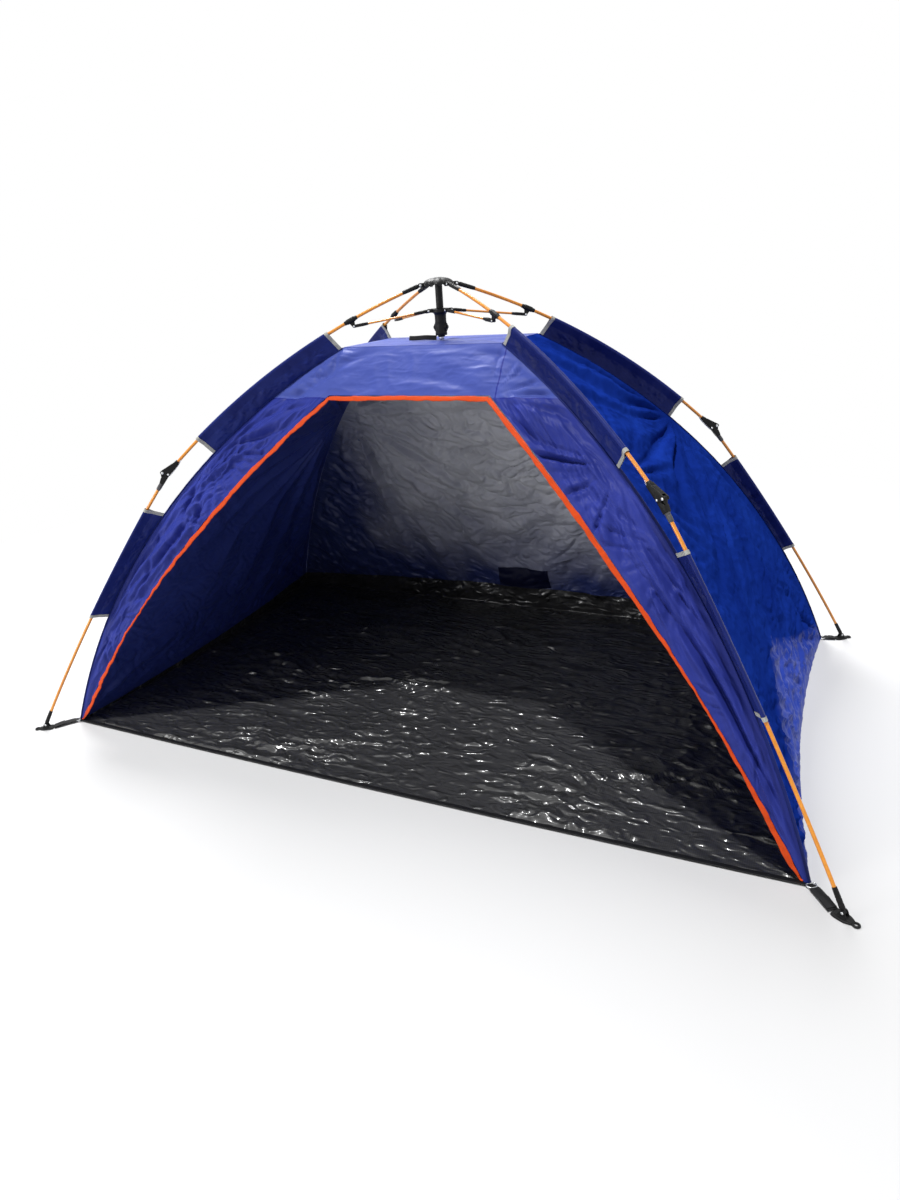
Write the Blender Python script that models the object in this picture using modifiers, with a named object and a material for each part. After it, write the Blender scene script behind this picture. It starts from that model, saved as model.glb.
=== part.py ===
"""Pop-up beach tent: a folding four-legged frame with a blue canopy hung under it.

Metres, +Z up, +X to the right as you face the doorway, -Y out of the doorway.
The origin is on the ground, midway between the four feet.
"""
from math import atan2, cos, hypot, pi, radians, sin, tan

import bmesh
import bpy
import numpy as np
from mathutils import Matrix, Vector
from mathutils.geometry import tessellate_polygon

# Driving dimensions of the frame
frame_width = 2.37          # left to right between the foot pivots
frame_depth = 1.445         # front to back between the foot pivots
peak_height = 1.300
elbow_radius = 0.850        # from the mast axis
elbow_drop = 0.498          # below the peak
foot_pivot_height = 0.016
upper_turn = radians(25)    # how far each pole's direction turns along its bow
lower_turn = radians(8)
pole_radius = 0.0045

# Driving dimensions of the canopy
roof_corner_radius = 0.287  # from the mast axis, under each pole
seam_below_elbow = 0.056    # the canopy's corner seam hangs this far inside the elbow
corner_gap_side = 0.065     # from the foot pivot in to the floor's corner
corner_gap_front = 0.0775
corner_gap_back = 0.0225
side_hem_bow = 0.055        # the side walls' hems are pulled in between their corners
back_hem_bow = 0.012
fabric = 0.0015
seam_inset = 0.0045         # the front and back panels stop this far short of the side panels
ground_clearance = 0.0012   # hems stand this far above the ground
door_drop = 0.128           # doorway top below the roof
door_top_half_width = 0.243
door_side_bow = 0.056
door_corner_gap = 0.020     # from the doorway's foot to the floor's corner
trim_width = 0.014
threshold_bow = 0.010       # the floor's front edge bulges forwards
threshold_hem = 0.0005
lip_corner_height = 0.050   # the groundsheet's lip at the back corners
lip_back_height = 0.098     # and midway along the back
wall_rows = 11              # grid lines down the side and back panels
side_columns = 11           # and across them
back_columns = 13

# Fits
touch = 0.0003              # between solids that rest on each other
bore_clearance = 0.0005     # round a pole in its socket
pin_clearance = 0.0004
side_clearance = 0.0005     # between a tongue and the cheeks beside it
overrun = 0.004             # how far a cutter runs past what it cuts

# Hub
hub_pivot_radius = 0.0525
hub_pivot_drop = 0.019      # below the peak
hub_wall = 0.003
hub_rim_drop = 0.012
hub_ceiling_drop = 0.0155
mast_socket_depth = 0.009
pin_radius = 0.002
hub_cheek_radius = 0.006
hub_cheek = 0.003
hub_eye_radius = 0.005
hub_eye_width = 0.009
hub_rim_gap = 0.001
ferrule_radius = 0.006
ferrule_length = 0.048

# Mast and runner
mast_radius = 0.0105
mast_clearance = 0.0006
runner_drop = 0.070         # runner pivots below the hub pivots
runner_pivot_radius = 0.034
runner_radius = 0.0165
runner_flange_radius = 0.024
runner_cheek_radius = 0.0052
runner_cheek = 0.0026
runner_length = 0.074
mast_tail = 0.004           # mast showing below the runner
mast_tip_radius = 0.0085
mast_tip_length = 0.0082
button_radius = 0.0056
button_drop = 0.046         # below the runner pivots
button_proud = 0.007
button_travel = 0.003

# Struts and the clamps on the upper poles
clamp_distance = 0.222      # along the pole from the hub pivot
clamp_radius = 0.0075
clamp_length = 0.024
clamp_lug = 0.005
clamp_lug_drop = 0.018
clamp_lug_radius = 0.0040
strut_radius = 0.0031
strut_eye_width = 0.007
strut_eye_radius = 0.0046
strut_ferrule_radius = 0.0047
strut_ferrule_length = 0.036
fork_length = 0.036
fork_slot_depth = 0.0265
fork_cheek = 0.0028
fork_half_height = 0.0038

# Elbows
elbow_pivot_offset = 0.013
elbow_width = 0.017
elbow_disc_radius = 0.0065
tongue_width = 0.008
tongue_radius = 0.006
socket_length = 0.048
knuckle_length = 0.042
housing_half_height = 0.007
pole_end_gap = 0.015        # each pole stops this far from the elbow
butt_gap = 0.0003
elbow_pin_head = 0.0040
elbow_pin_head_thickness = 0.0012

# Feet and corner straps
foot_eye_width = 0.008
foot_eye_radius = 0.0052
foot_cheek = 0.003
foot_cheek_radius = 0.006
foot_heel = 0.022           # sole behind the pivot
foot_toe = 0.038            # sole beyond the pivot
foot_half_width = 0.015
foot_tip_half_width = 0.009
foot_sole = 0.005
peg_hole_radius = 0.0035
peg_hole_from_tip = 0.009
strap_width = 0.026
strap_thickness = 0.002

# Pole sleeves, the fins that hang the canopy from the poles
sleeve_wall = 0.0014
upper_sleeve_start = 0.298  # along the upper pole from the hub pivot
upper_sleeve_stop = 0.145   # short of the elbow
lower_sleeve_start = 0.125  # along the lower pole from the elbow
lower_sleeve_length = 0.403
upper_seam_shares = (0.004, 0.320)
lower_seam_shares = (0.484, 0.746)
sleeve_seam_gap = 0.0008

# Small fabric pieces
pocket_half_width = 0.110
pocket_base = lip_back_height + 0.004
pocket_top = pocket_base + 0.086
pocket_thickness = 0.0035
roof_strap_length = 0.078
roof_strap_width = 0.012
roof_strap_thickness = 0.002
roof_strap_start = 0.016

# Places worked out from the sizes above
leg_azimuth = atan2(frame_depth, frame_width)
foot_radius = hypot(frame_width, frame_depth) / 2
hub_pivot = np.array([hub_pivot_radius, peak_height - hub_pivot_drop])
elbow = np.array([elbow_radius, peak_height - elbow_drop])
foot_pivot = np.array([foot_radius, foot_pivot_height])
runner_pivot = np.array([runner_pivot_radius, hub_pivot[1] - runner_drop])
runner_top = runner_pivot[1] + runner_cheek_radius + touch
runner_bottom = runner_top - runner_length
hub_ceiling = peak_height - hub_ceiling_drop
mast_top = hub_ceiling + mast_socket_depth - touch
mast_bottom = runner_bottom - mast_tail
tip_bottom = mast_bottom - touch - mast_tip_length
roof_height = tip_bottom - touch - fabric
wall_top = roof_height - touch
roof_half_width = roof_corner_radius * cos(leg_azimuth)
roof_half_depth = roof_corner_radius * sin(leg_azimuth)
floor_half_width = frame_width / 2 - corner_gap_side
floor_front = -(frame_depth / 2 - corner_gap_front)
floor_back = frame_depth / 2 - corner_gap_back
door_top = wall_top - door_drop

LEGS = {"fl": (-1, -1), "fr": (1, -1), "br": (1, 1), "bl": (-1, 1)}
QUARTER_TURN = pi / 2
FLAT_IN_LEG_PLANE = Matrix.Rotation(QUARTER_TURN, 4, "X")


# Scene and materials

def empty_scene():
    for thing in list(bpy.data.objects):
        bpy.data.objects.remove(thing)


def new_collection(name):
    collection = bpy.data.collections.new(name)
    bpy.context.scene.collection.children.link(collection)
    return collection


def material(name, colour, roughness, metallic=0.0):
    made = bpy.data.materials.new(name)
    made.use_nodes = True
    shader = made.node_tree.nodes["Principled BSDF"]
    shader.inputs["Base Color"].default_value = (*colour, 1.0)
    shader.inputs["Roughness"].default_value = roughness
    shader.inputs["Metallic"].default_value = metallic
    return made


empty_scene()
parts = new_collection("beach_tent")
MATERIALS = {
    "black_plastic": material("black_plastic", (0.012, 0.012, 0.013), 0.45),
    "orange_pole": material("orange_pole", (0.85, 0.36, 0.07), 0.4),
    "steel": material("steel", (0.62, 0.62, 0.63), 0.3, 1.0),
    "blue_polyester": material("blue_polyester", (0.03, 0.05, 0.42), 0.6),
    "navy_polyester": material("navy_polyester", (0.008, 0.012, 0.07), 0.7),
    "black_sheeting": material("black_sheeting", (0.01, 0.01, 0.01), 0.3),
    "orange_binding": material("orange_binding", (0.8, 0.09, 0.02), 0.7),
    "black_webbing": material("black_webbing", (0.01, 0.01, 0.01), 0.8),
}


def temporary(name, mesh):
    made = bpy.data.objects.new(name, mesh)
    parts.objects.link(made)
    return made


def evaluated_mesh(thing):
    """The thing as its modifiers leave it, welded, in the coordinates of its parent."""
    graph = bpy.context.evaluated_depsgraph_get()
    mesh = bpy.data.meshes.new_from_object(thing.evaluated_get(graph))
    work = bmesh.new()
    work.from_mesh(mesh)
    bmesh.ops.remove_doubles(work, verts=work.verts, dist=1e-7)
    work.transform(thing.matrix_world)
    work.to_mesh(mesh)
    work.free()
    bpy.data.objects.remove(thing)
    return mesh


def combine(base, *steps):
    """A mesh made of the base with each (operation, other mesh) applied in turn."""
    body = temporary("body", base)
    others = []
    for operation, mesh in steps:
        other = temporary("other", mesh)
        other.hide_render = True
        other.display_type = "WIRE"
        others.append(other)
        change = body.modifiers.new(operation.lower(), "BOOLEAN")
        change.operation = operation
        change.object = other
        change.solver = "EXACT"
    mesh = evaluated_mesh(body)
    for other in others:
        bpy.data.objects.remove(other)
    return mesh


def joined(meshes):
    """Several meshes that don't touch, as one, for a cutter or a set of bosses."""
    work = bmesh.new()
    for mesh in meshes:
        work.from_mesh(mesh)
    result = bpy.data.meshes.new("joined")
    work.to_mesh(result)
    work.free()
    return result


def moved(mesh, matrix):
    copy = mesh.copy()
    copy.transform(matrix)
    return copy


# Basic shapes

def cylinder(radius, length, matrix=Matrix(), sides=12, end_radius=None):
    """A cylinder or cone on its own Z axis, centred, then placed by the matrix."""
    work = bmesh.new()
    bmesh.ops.create_cone(work, cap_ends=True, segments=sides, radius1=radius,
                          radius2=radius if end_radius is None else end_radius,
                          depth=length, matrix=matrix)
    mesh = bpy.data.meshes.new("cylinder")
    work.to_mesh(mesh)
    work.free()
    return mesh


def box(low, high, matrix=Matrix()):
    size = Vector(high) - Vector(low)
    middle = (Vector(high) + Vector(low)) / 2
    place = matrix @ Matrix.Translation(middle) @ Matrix.Diagonal((*size, 1))
    work = bmesh.new()
    bmesh.ops.create_cube(work, size=1, matrix=place)
    mesh = bpy.data.meshes.new("box")
    work.to_mesh(mesh)
    work.free()
    return mesh


def plate(outline, thickness, matrix=Matrix()):
    """A flat outline in XY, given its thickness along Z."""
    curve = bpy.data.curves.new("outline", "CURVE")
    curve.dimensions = "2D"
    curve.fill_mode = "BOTH"
    curve.extrude = thickness / 2
    spline = curve.splines.new("POLY")
    spline.points.add(len(outline) - 1)
    for point, (x, y) in zip(spline.points, outline):
        point.co = (x, y, 0, 1)
    spline.use_cyclic_u = True
    return moved(evaluated_mesh(temporary("plate", curve)), matrix)


def rod(points, radius, resolution=2):
    """A round bar along a list of points."""
    curve = bpy.data.curves.new("rod", "CURVE")
    curve.dimensions = "3D"
    curve.bevel_depth = radius
    curve.bevel_resolution = resolution
    curve.use_fill_caps = True
    spline = curve.splines.new("POLY")
    spline.points.add(len(points) - 1)
    for point, place in zip(spline.points, points):
        point.co = (*place, 1)
    return evaluated_mesh(temporary("rod", curve))


def turned(profile, closed, steps=24):
    """A profile of (radius, height) points turned about the Z axis."""
    mesh = bpy.data.meshes.new("profile")
    count = len(profile)
    edges = [(i, i + 1) for i in range(count - 1)] + ([(count - 1, 0)] if closed else [])
    mesh.from_pydata([(r, 0, z) for r, z in profile], edges, [])
    thing = temporary("turned", mesh)
    screw = thing.modifiers.new("turn", "SCREW")
    screw.steps = screw.render_steps = steps
    screw.use_merge_vertices = True
    screw.merge_threshold = 1e-5
    screw.use_normal_calculate = True
    result = evaluated_mesh(thing)
    work = bmesh.new()
    work.from_mesh(result)
    bmesh.ops.recalc_face_normals(work, faces=work.faces)
    work.to_mesh(result)
    work.free()
    return result


def ring_points(x, y, radius, start=0.0, stop=2 * pi, count=12):
    angles = np.linspace(start, stop, count)
    return [(x + radius * cos(a), y + radius * sin(a)) for a in angles]


def hull_outline(points):
    """The convex outline round some 2D points, anticlockwise."""
    points = sorted(set((round(x, 7), round(y, 7)) for x, y in points))

    def chain(ordered):
        out = []
        for p in ordered:
            while len(out) > 1 and ((out[-1][0] - out[-2][0]) * (p[1] - out[-2][1])
                                    - (out[-1][1] - out[-2][1]) * (p[0] - out[-2][0])) <= 0:
                out.pop()
            out.append(p)
        return out[:-1]

    return chain(points) + chain(points[::-1])


# The leg's plane: X outwards from the mast, Z up, and bows that turn steadily

def bow_at(start, end, turn, share):
    """Point and heading on a bow from start to end whose heading falls by turn."""
    chord = end - start
    heading = atan2(chord[1], chord[0]) + turn / 2
    length = hypot(*chord) * (turn / 2) / sin(turn / 2)
    now = heading - turn * share
    reach = length / turn
    place = start + reach * np.array([sin(heading) - sin(now), cos(now) - cos(heading)])
    return place, now, length


def upper_at(distance):
    length = bow_at(hub_pivot, elbow, upper_turn, 0)[2]
    return bow_at(hub_pivot, elbow, upper_turn, distance / length)[:2]


def lower_at(distance):
    length = bow_at(elbow, foot_pivot, lower_turn, 0)[2]
    return bow_at(elbow, foot_pivot, lower_turn, distance / length)[:2]


upper_length = bow_at(hub_pivot, elbow, upper_turn, 0)[2]
lower_length = bow_at(elbow, foot_pivot, lower_turn, 0)[2]
upper_end_heading = upper_at(upper_length)[1]
lower_start_heading = lower_at(0)[1]
elbow_heading = (upper_end_heading + lower_start_heading) / 2
half_bend = (upper_end_heading - lower_start_heading) / 2


def in_leg(place, heading=0.0):
    """A frame in the leg's plane: X along the heading, Z the outward side."""
    return Matrix.Translation((place[0], 0, place[1])) @ Matrix.Rotation(-heading, 4, "Y")


def pole_points(at, start, stop, count):
    places = [at(d)[0] for d in np.linspace(start, stop, count)]
    return [(s, 0, z) for s, z in places]


def along(matrix, start, stop):
    """A frame for a cylinder that runs along X from start to stop."""
    return matrix @ Matrix.Translation(((start + stop) / 2, 0, 0)) @ Matrix.Rotation(QUARTER_TURN, 4, "Y")


def across(matrix, x=0.0, z=0.0):
    """A frame for a cylinder that lies across the leg's plane."""
    return matrix @ Matrix.Translation((x, 0, z)) @ Matrix.Rotation(QUARTER_TURN, 4, "X")


clamp_place, clamp_heading = upper_at(clamp_distance)
clamp_frame = in_leg(clamp_place, clamp_heading)
clamp_pivot = clamp_place + clamp_lug_drop * np.array([sin(clamp_heading), -cos(clamp_heading)])
strut_vector = clamp_pivot - runner_pivot
strut_length = hypot(*strut_vector)
strut_heading = atan2(strut_vector[1], strut_vector[0])
elbow_frame = in_leg(elbow, elbow_heading)
elbow_pivot = elbow + elbow_pivot_offset * np.array([-sin(elbow_heading), cos(elbow_heading)])


# Frame pieces, each as a mesh in the leg's plane

def eye(width, radius, reach, matrix):
    """The flat tongue of a pole or strut round its pin, and the neck behind it."""
    outline = hull_outline(ring_points(0, 0, radius) + [(reach, radius * 0.8), (reach, -radius * 0.8)])
    return plate(outline, width, matrix @ FLAT_IN_LEG_PLANE)


def upper_pole():
    frame = in_leg(*upper_at(0))
    tube = rod(pole_points(upper_at, ferrule_radius + ferrule_length / 2,
                           upper_length - pole_end_gap, 13), pole_radius)
    start = hub_cheek_radius + hub_rim_gap
    collar = cylinder(ferrule_radius, ferrule_length, along(frame, start, start + ferrule_length),
                      end_radius=pole_radius * 1.15)
    tongue = eye(hub_eye_width, hub_eye_radius, start + ferrule_radius, frame)
    pin = cylinder(pin_radius, hub_eye_width + 2 * (side_clearance + hub_cheek), across(frame))
    return combine(tube, ("UNION", collar), ("UNION", tongue), ("UNION", pin))


def lower_pole():
    foot_heading = lower_at(lower_length)[1]
    frame = in_leg(foot_pivot, foot_heading + pi)
    start = foot_cheek_radius + hub_rim_gap
    tube = rod(pole_points(lower_at, pole_end_gap, lower_length - ferrule_radius - ferrule_length / 2, 11),
               pole_radius)
    collar = cylinder(ferrule_radius, ferrule_length, along(frame, start, start + ferrule_length),
                      end_radius=pole_radius * 1.15)
    tongue = eye(foot_eye_width, foot_eye_radius, start + ferrule_radius, frame)
    pin = cylinder(pin_radius, foot_eye_width + 2 * (side_clearance + foot_cheek), across(frame))
    return combine(tube, ("UNION", collar), ("UNION", tongue), ("UNION", pin))


def clamp():
    collar = cylinder(clamp_radius, clamp_length, along(clamp_frame, -clamp_length / 2, clamp_length / 2))
    bore = cylinder(pole_radius + 2 * bore_clearance, clamp_length + 2 * overrun,
                    along(clamp_frame, -clamp_length / 2, clamp_length / 2), sides=16)
    root = (pole_radius + 2 * bore_clearance + clamp_radius) / 2
    outline = hull_outline(ring_points(0, -clamp_lug_drop, clamp_lug_radius)
                           + [(-clamp_radius, -root), (clamp_radius, -root)])
    lug = plate(outline, clamp_lug, clamp_frame @ FLAT_IN_LEG_PLANE)
    return combine(collar, ("UNION", lug), ("DIFFERENCE", bore))


def strut():
    frame = in_leg(runner_pivot, strut_heading)
    start = runner_cheek_radius + hub_rim_gap
    fork_start = strut_length - fork_length
    slot_start = strut_length - fork_slot_depth
    half_fork = clamp_lug / 2 + side_clearance + fork_cheek
    bar = cylinder(strut_radius, fork_start - start, along(frame, start + strut_radius, fork_start + strut_radius),
                   sides=10)
    collar = cylinder(strut_ferrule_radius, strut_ferrule_length,
                      along(frame, start, start + strut_ferrule_length), end_radius=strut_radius * 1.2)
    tongue = eye(strut_eye_width, strut_eye_radius, start + strut_ferrule_radius, frame)
    pin = cylinder(pin_radius, strut_eye_width + 2 * (side_clearance + runner_cheek), across(frame))
    outline = hull_outline(ring_points(strut_length, 0, fork_half_height)
                           + [(fork_start, strut_radius), (fork_start, -strut_radius),
                              (slot_start, fork_half_height), (slot_start, -fork_half_height)])
    fork = plate(outline, 2 * half_fork, frame @ FLAT_IN_LEG_PLANE)
    slot = box((slot_start, -clamp_lug / 2 - side_clearance, -clamp_radius),
               (strut_length + clamp_radius, clamp_lug / 2 + side_clearance, clamp_radius), frame)
    return combine(bar, ("UNION", fork), ("UNION", collar), ("UNION", tongue), ("UNION", pin),
                   ("DIFFERENCE", slot))


def tilted(x, y, angle):
    return (x * cos(angle) - y * sin(angle), x * sin(angle) + y * cos(angle))


def elbow_socket():
    """The upper half of the elbow: a socket for the upper pole and two cheeks."""
    outline = [tilted(-socket_length, -housing_half_height, half_bend),
               (-butt_gap, -housing_half_height),
               (-butt_gap, elbow_pivot_offset - elbow_disc_radius)]
    outline += ring_points(0, elbow_pivot_offset, elbow_disc_radius, -QUARTER_TURN * 0.97, pi * 0.56, 9)
    outline += [tilted(-socket_length, housing_half_height, half_bend)]
    block = plate(outline, elbow_width, elbow_frame @ FLAT_IN_LEG_PLANE)
    bore_frame = in_leg(elbow, upper_end_heading)
    bore = cylinder(pole_radius + 2 * bore_clearance, socket_length,
                    along(bore_frame, -socket_length - pole_end_gap + touch, -pole_end_gap + touch), sides=16)
    half_slot = tongue_width / 2 + side_clearance
    slot = box((-pole_end_gap + 2 * bore_clearance, -half_slot, pole_radius),
               (tongue_radius + overrun, half_slot, elbow_pivot_offset + 2 * elbow_disc_radius), elbow_frame)
    hole = cylinder(pin_radius + pin_clearance, elbow_width + overrun,
                    across(elbow_frame, 0, elbow_pivot_offset))
    return combine(block, ("DIFFERENCE", bore), ("DIFFERENCE", slot), ("DIFFERENCE", hole))


def elbow_knuckle():
    """The lower half of the elbow: a socket for the lower pole and the tongue."""
    shoulder = elbow_pivot_offset - elbow_disc_radius - 3 * side_clearance
    outline = [(butt_gap, -housing_half_height),
               tilted(knuckle_length, -housing_half_height, -half_bend),
               tilted(knuckle_length, housing_half_height, -half_bend),
               (tongue_radius + elbow_disc_radius / 2, housing_half_height - 2 * side_clearance),
               (tongue_radius, shoulder), (butt_gap, shoulder)]
    block = plate(outline, elbow_width, elbow_frame @ FLAT_IN_LEG_PLANE)
    bore_frame = in_leg(elbow, lower_start_heading)
    bore = cylinder(pole_radius + 2 * bore_clearance, knuckle_length,
                    along(bore_frame, pole_end_gap - touch, pole_end_gap - touch + knuckle_length), sides=16)
    neck = tongue_radius * 2.6
    tongue_outline = hull_outline(ring_points(0, elbow_pivot_offset, tongue_radius, count=16)
                                  + [(tongue_radius * 0.9, shoulder / 2), (neck, shoulder / 2),
                                     (neck, housing_half_height - 6 * side_clearance)])
    tongue = plate(tongue_outline, tongue_width, elbow_frame @ FLAT_IN_LEG_PLANE)
    hole = cylinder(pin_radius + pin_clearance, elbow_width + overrun,
                    across(elbow_frame, 0, elbow_pivot_offset))
    return combine(block, ("UNION", tongue), ("DIFFERENCE", bore), ("DIFFERENCE", hole))


def elbow_pin():
    reach = elbow_width / 2 + touch
    head = reach + elbow_pin_head_thickness
    profile = [(0, head), (elbow_pin_head * 0.7, head), (elbow_pin_head, reach + touch),
               (elbow_pin_head, reach), (pin_radius, reach), (pin_radius, -reach), (elbow_pin_head, -reach),
               (elbow_pin_head, -reach - touch), (elbow_pin_head * 0.7, -head), (0, -head)]
    return moved(turned(profile, closed=False, steps=12), across(elbow_frame, 0, elbow_pivot_offset))


def foot():
    """A moulded shoe: a flat sole with two ears for the pole's end and a peg hole."""
    sole_outline = hull_outline([(-foot_heel, -foot_half_width * 0.8), (-foot_heel, foot_half_width * 0.8),
                                 (-foot_heel * 0.6, -foot_half_width), (-foot_heel * 0.6, foot_half_width),
                                 (foot_toe * 0.3, -foot_half_width), (foot_toe * 0.3, foot_half_width)]
                                + ring_points(foot_toe - foot_tip_half_width, 0, foot_tip_half_width))
    base = Matrix.Translation((foot_radius, 0, foot_sole / 2))
    sole = plate(sole_outline, foot_sole, base)
    frame = in_leg(foot_pivot)
    half_ears = foot_eye_width / 2 + side_clearance + foot_cheek
    ears_outline = hull_outline(ring_points(0, 0, foot_cheek_radius)
                                + [(-2 * foot_cheek_radius, foot_sole / 2 - foot_pivot_height),
                                   (2 * foot_cheek_radius, foot_sole / 2 - foot_pivot_height)])
    ears = plate(ears_outline, 2 * half_ears, frame @ FLAT_IN_LEG_PLANE)
    half_slot = foot_eye_width / 2 + side_clearance
    slot = box((-3 * foot_cheek_radius, -half_slot, foot_sole - foot_pivot_height),
               (3 * foot_cheek_radius, half_slot, 2 * foot_cheek_radius), frame)
    hole = cylinder(pin_radius + pin_clearance, 2 * half_ears + overrun, across(frame))
    peg_hole = cylinder(peg_hole_radius, foot_sole + 2 * overrun,
                        base @ Matrix.Translation((foot_toe - peg_hole_from_tip, 0, 0)))
    return combine(sole, ("UNION", ears), ("DIFFERENCE", slot), ("DIFFERENCE", hole), ("DIFFERENCE", peg_hole))


# Hub, mast and runner, on the mast axis

def leg_turn(key):
    side, end = LEGS[key]
    return Matrix.Rotation(atan2(end * sin(leg_azimuth), side * cos(leg_azimuth)), 4, "Z")


def clevises(pivot, root_radius, end_radius, half_slot, cheek, slot_from):
    """For each leg a pair of cheeks, and what is cut out of them."""
    frame = in_leg(pivot)
    outline = hull_outline(ring_points(0, 0, end_radius)
                           + [(root_radius - pivot[0], end_radius), (root_radius - pivot[0], -end_radius)])
    block = plate(outline, 2 * (half_slot + cheek), frame @ FLAT_IN_LEG_PLANE)
    slot = box((slot_from - pivot[0], -half_slot, -2 * end_radius), (2 * end_radius, half_slot, 2 * end_radius),
               frame)
    hole = cylinder(pin_radius + pin_clearance, 2 * (half_slot + cheek) + overrun, across(frame))
    turns = [leg_turn(key) for key in LEGS]
    return [joined([moved(mesh, turn) for turn in turns]) for mesh in (block, slot, hole)]


def hub():
    outer = hub_pivot_radius - hub_cheek_radius - hub_rim_gap
    inner = outer - hub_wall
    rim = peak_height - hub_rim_drop
    bottom = hub_pivot[1] - hub_cheek_radius - hub_rim_gap
    hole = mast_radius + touch
    profile = [(0, peak_height), (outer * 0.42, peak_height - hub_rim_drop * 0.08),
               (outer * 0.75, peak_height - hub_rim_drop * 0.4), (outer, rim), (outer, bottom),
               (inner, bottom), (inner, hub_ceiling), (hole, hub_ceiling),
               (hole, hub_ceiling + mast_socket_depth), (0, hub_ceiling + mast_socket_depth)]
    dome = turned(profile, closed=False)
    blocks, slots, holes = clevises(hub_pivot, outer - hub_wall / 2, hub_cheek_radius,
                                    hub_eye_width / 2 + side_clearance, hub_cheek, outer + touch)
    return combine(dome, ("UNION", blocks), ("DIFFERENCE", slots), ("DIFFERENCE", holes))


def runner():
    bore = mast_radius + mast_clearance
    flange_bottom = runner_pivot[1] - runner_cheek_radius - touch
    profile = [(bore, runner_top), (runner_flange_radius, runner_top), (runner_flange_radius, flange_bottom),
               (runner_radius, flange_bottom - (runner_flange_radius - runner_radius)),
               (runner_radius, runner_bottom + touch * 4), (runner_radius - touch * 4, runner_bottom),
               (bore, runner_bottom)]
    sleeve = turned(profile, closed=True)
    blocks, slots, holes = clevises(runner_pivot, (runner_radius + runner_flange_radius) / 2, runner_cheek_radius,
                                    strut_eye_width / 2 + side_clearance, runner_cheek,
                                    runner_flange_radius + touch)
    cross = Matrix.Translation((0, 0, runner_pivot[1] - button_drop)) @ Matrix.Rotation(QUARTER_TURN, 4, "Y")
    button_bore = cylinder(button_radius + bore_clearance, 2 * runner_flange_radius, cross, sides=16)
    return combine(sleeve, ("UNION", blocks), ("DIFFERENCE", slots), ("DIFFERENCE", holes),
                   ("DIFFERENCE", button_bore))


def button(side):
    """A release button that stands out of the runner's side."""
    inner = mast_radius + button_travel + 2 * mast_clearance
    outer = runner_radius + button_proud
    profile = [(0, outer), (button_radius * 0.6, outer), (button_radius, outer - button_proud * 0.3),
               (button_radius, inner), (0, inner)]
    place = Matrix.Translation((0, 0, runner_pivot[1] - button_drop)) @ Matrix.Rotation(side * QUARTER_TURN, 4, "Y")
    return moved(turned(profile, closed=False, steps=12), place)


def mast():
    return cylinder(mast_radius, mast_top - mast_bottom,
                    Matrix.Translation((0, 0, (mast_top + mast_bottom) / 2)), sides=20)


def mast_tip():
    middle = (mast_bottom - touch + tip_bottom) / 2
    return cylinder(mast_tip_radius * 0.8, mast_tip_length, Matrix.Translation((0, 0, middle)), sides=16,
                    end_radius=mast_tip_radius)


# The canopy's corner seams

def corner(side, end):
    return np.array([side * floor_half_width, floor_back if end > 0 else floor_front, 0.0])


def roof_corner(side, end):
    return np.array([side * roof_half_width, end * roof_half_depth, wall_top])


def seam_bow(side, end):
    """How far the seam stands out from its chord, so that it clears the elbow."""
    top, bottom = roof_corner(side, end), corner(side, end)
    chord = np.array([hypot(*(bottom - top)[:2]), bottom[2] - top[2]])
    chord = chord / hypot(*chord)
    rise = elbow - np.array([roof_corner_radius, wall_top])
    return float(rise @ np.array([-chord[1], chord[0]])) - seam_below_elbow


def bowed(start, end, height, shares):
    """Points on the circular bow over a chord, in the upright plane of the chord."""
    chord = end - start
    length = np.linalg.norm(chord)
    ahead = chord / length
    up = np.array([0, 0, 1.0]) - ahead * ahead[2]
    up = up / np.linalg.norm(up)
    radius = length ** 2 / (8 * height) + height / 2
    x = shares * length - length / 2
    lift = np.sqrt(radius ** 2 - x ** 2) - (radius - height)
    return start + np.outer(shares * length, ahead) + np.outer(lift, up)


def seam(side, end, shares):
    return bowed(roof_corner(side, end), corner(side, end), seam_bow(side, end), np.asarray(shares, float))


def seam_at_height(side, end, heights):
    """The seam's points at the given heights, read from a fine run of shares."""
    fine = seam(side, end, np.linspace(0, 1, 200))
    heights = np.asarray(heights, float)
    order = np.argsort(fine[:, 2])
    return np.column_stack([np.interp(heights, fine[order, 2], fine[order, k]) for k in (0, 1)] + [heights])


def panel(name, rows, material_key):
    """A grid of points, given as rows of the outer face, thickened inwards."""
    rows = np.asarray(rows)
    down, over = rows.shape[:2]
    work = bmesh.new()
    bmesh.ops.create_grid(work, x_segments=over - 1, y_segments=down - 1, size=1)
    work.verts.ensure_lookup_table()
    work.verts.index_update()
    places = rows.reshape(-1, 3)
    for vertex, place in zip(work.verts, places):
        vertex.co = place
    bmesh.ops.recalc_face_normals(work, faces=work.faces)
    middle = np.array([0, 0, peak_height / 3])
    face = min(work.faces, key=lambda f: abs(f.calc_center_median().z - wall_top / 2))
    if face.normal.dot(face.calc_center_median() - Vector(middle)) < 0:
        bmesh.ops.reverse_faces(work, faces=work.faces)
    mesh = bpy.data.meshes.new(name)
    work.to_mesh(mesh)
    work.free()
    made = place_root(name, mesh, material_key)
    wall = made.modifiers.new("thickness", "SOLIDIFY")
    wall.thickness = fabric
    wall.offset = -1
    return made


def heights_down(shares):
    """Heights of a wall's grid rows, from its top edge to just above the ground."""
    column = seam(1, 1, shares)[:, 2]
    return wall_top - (wall_top - column) * (wall_top - ground_clearance) / wall_top


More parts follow.
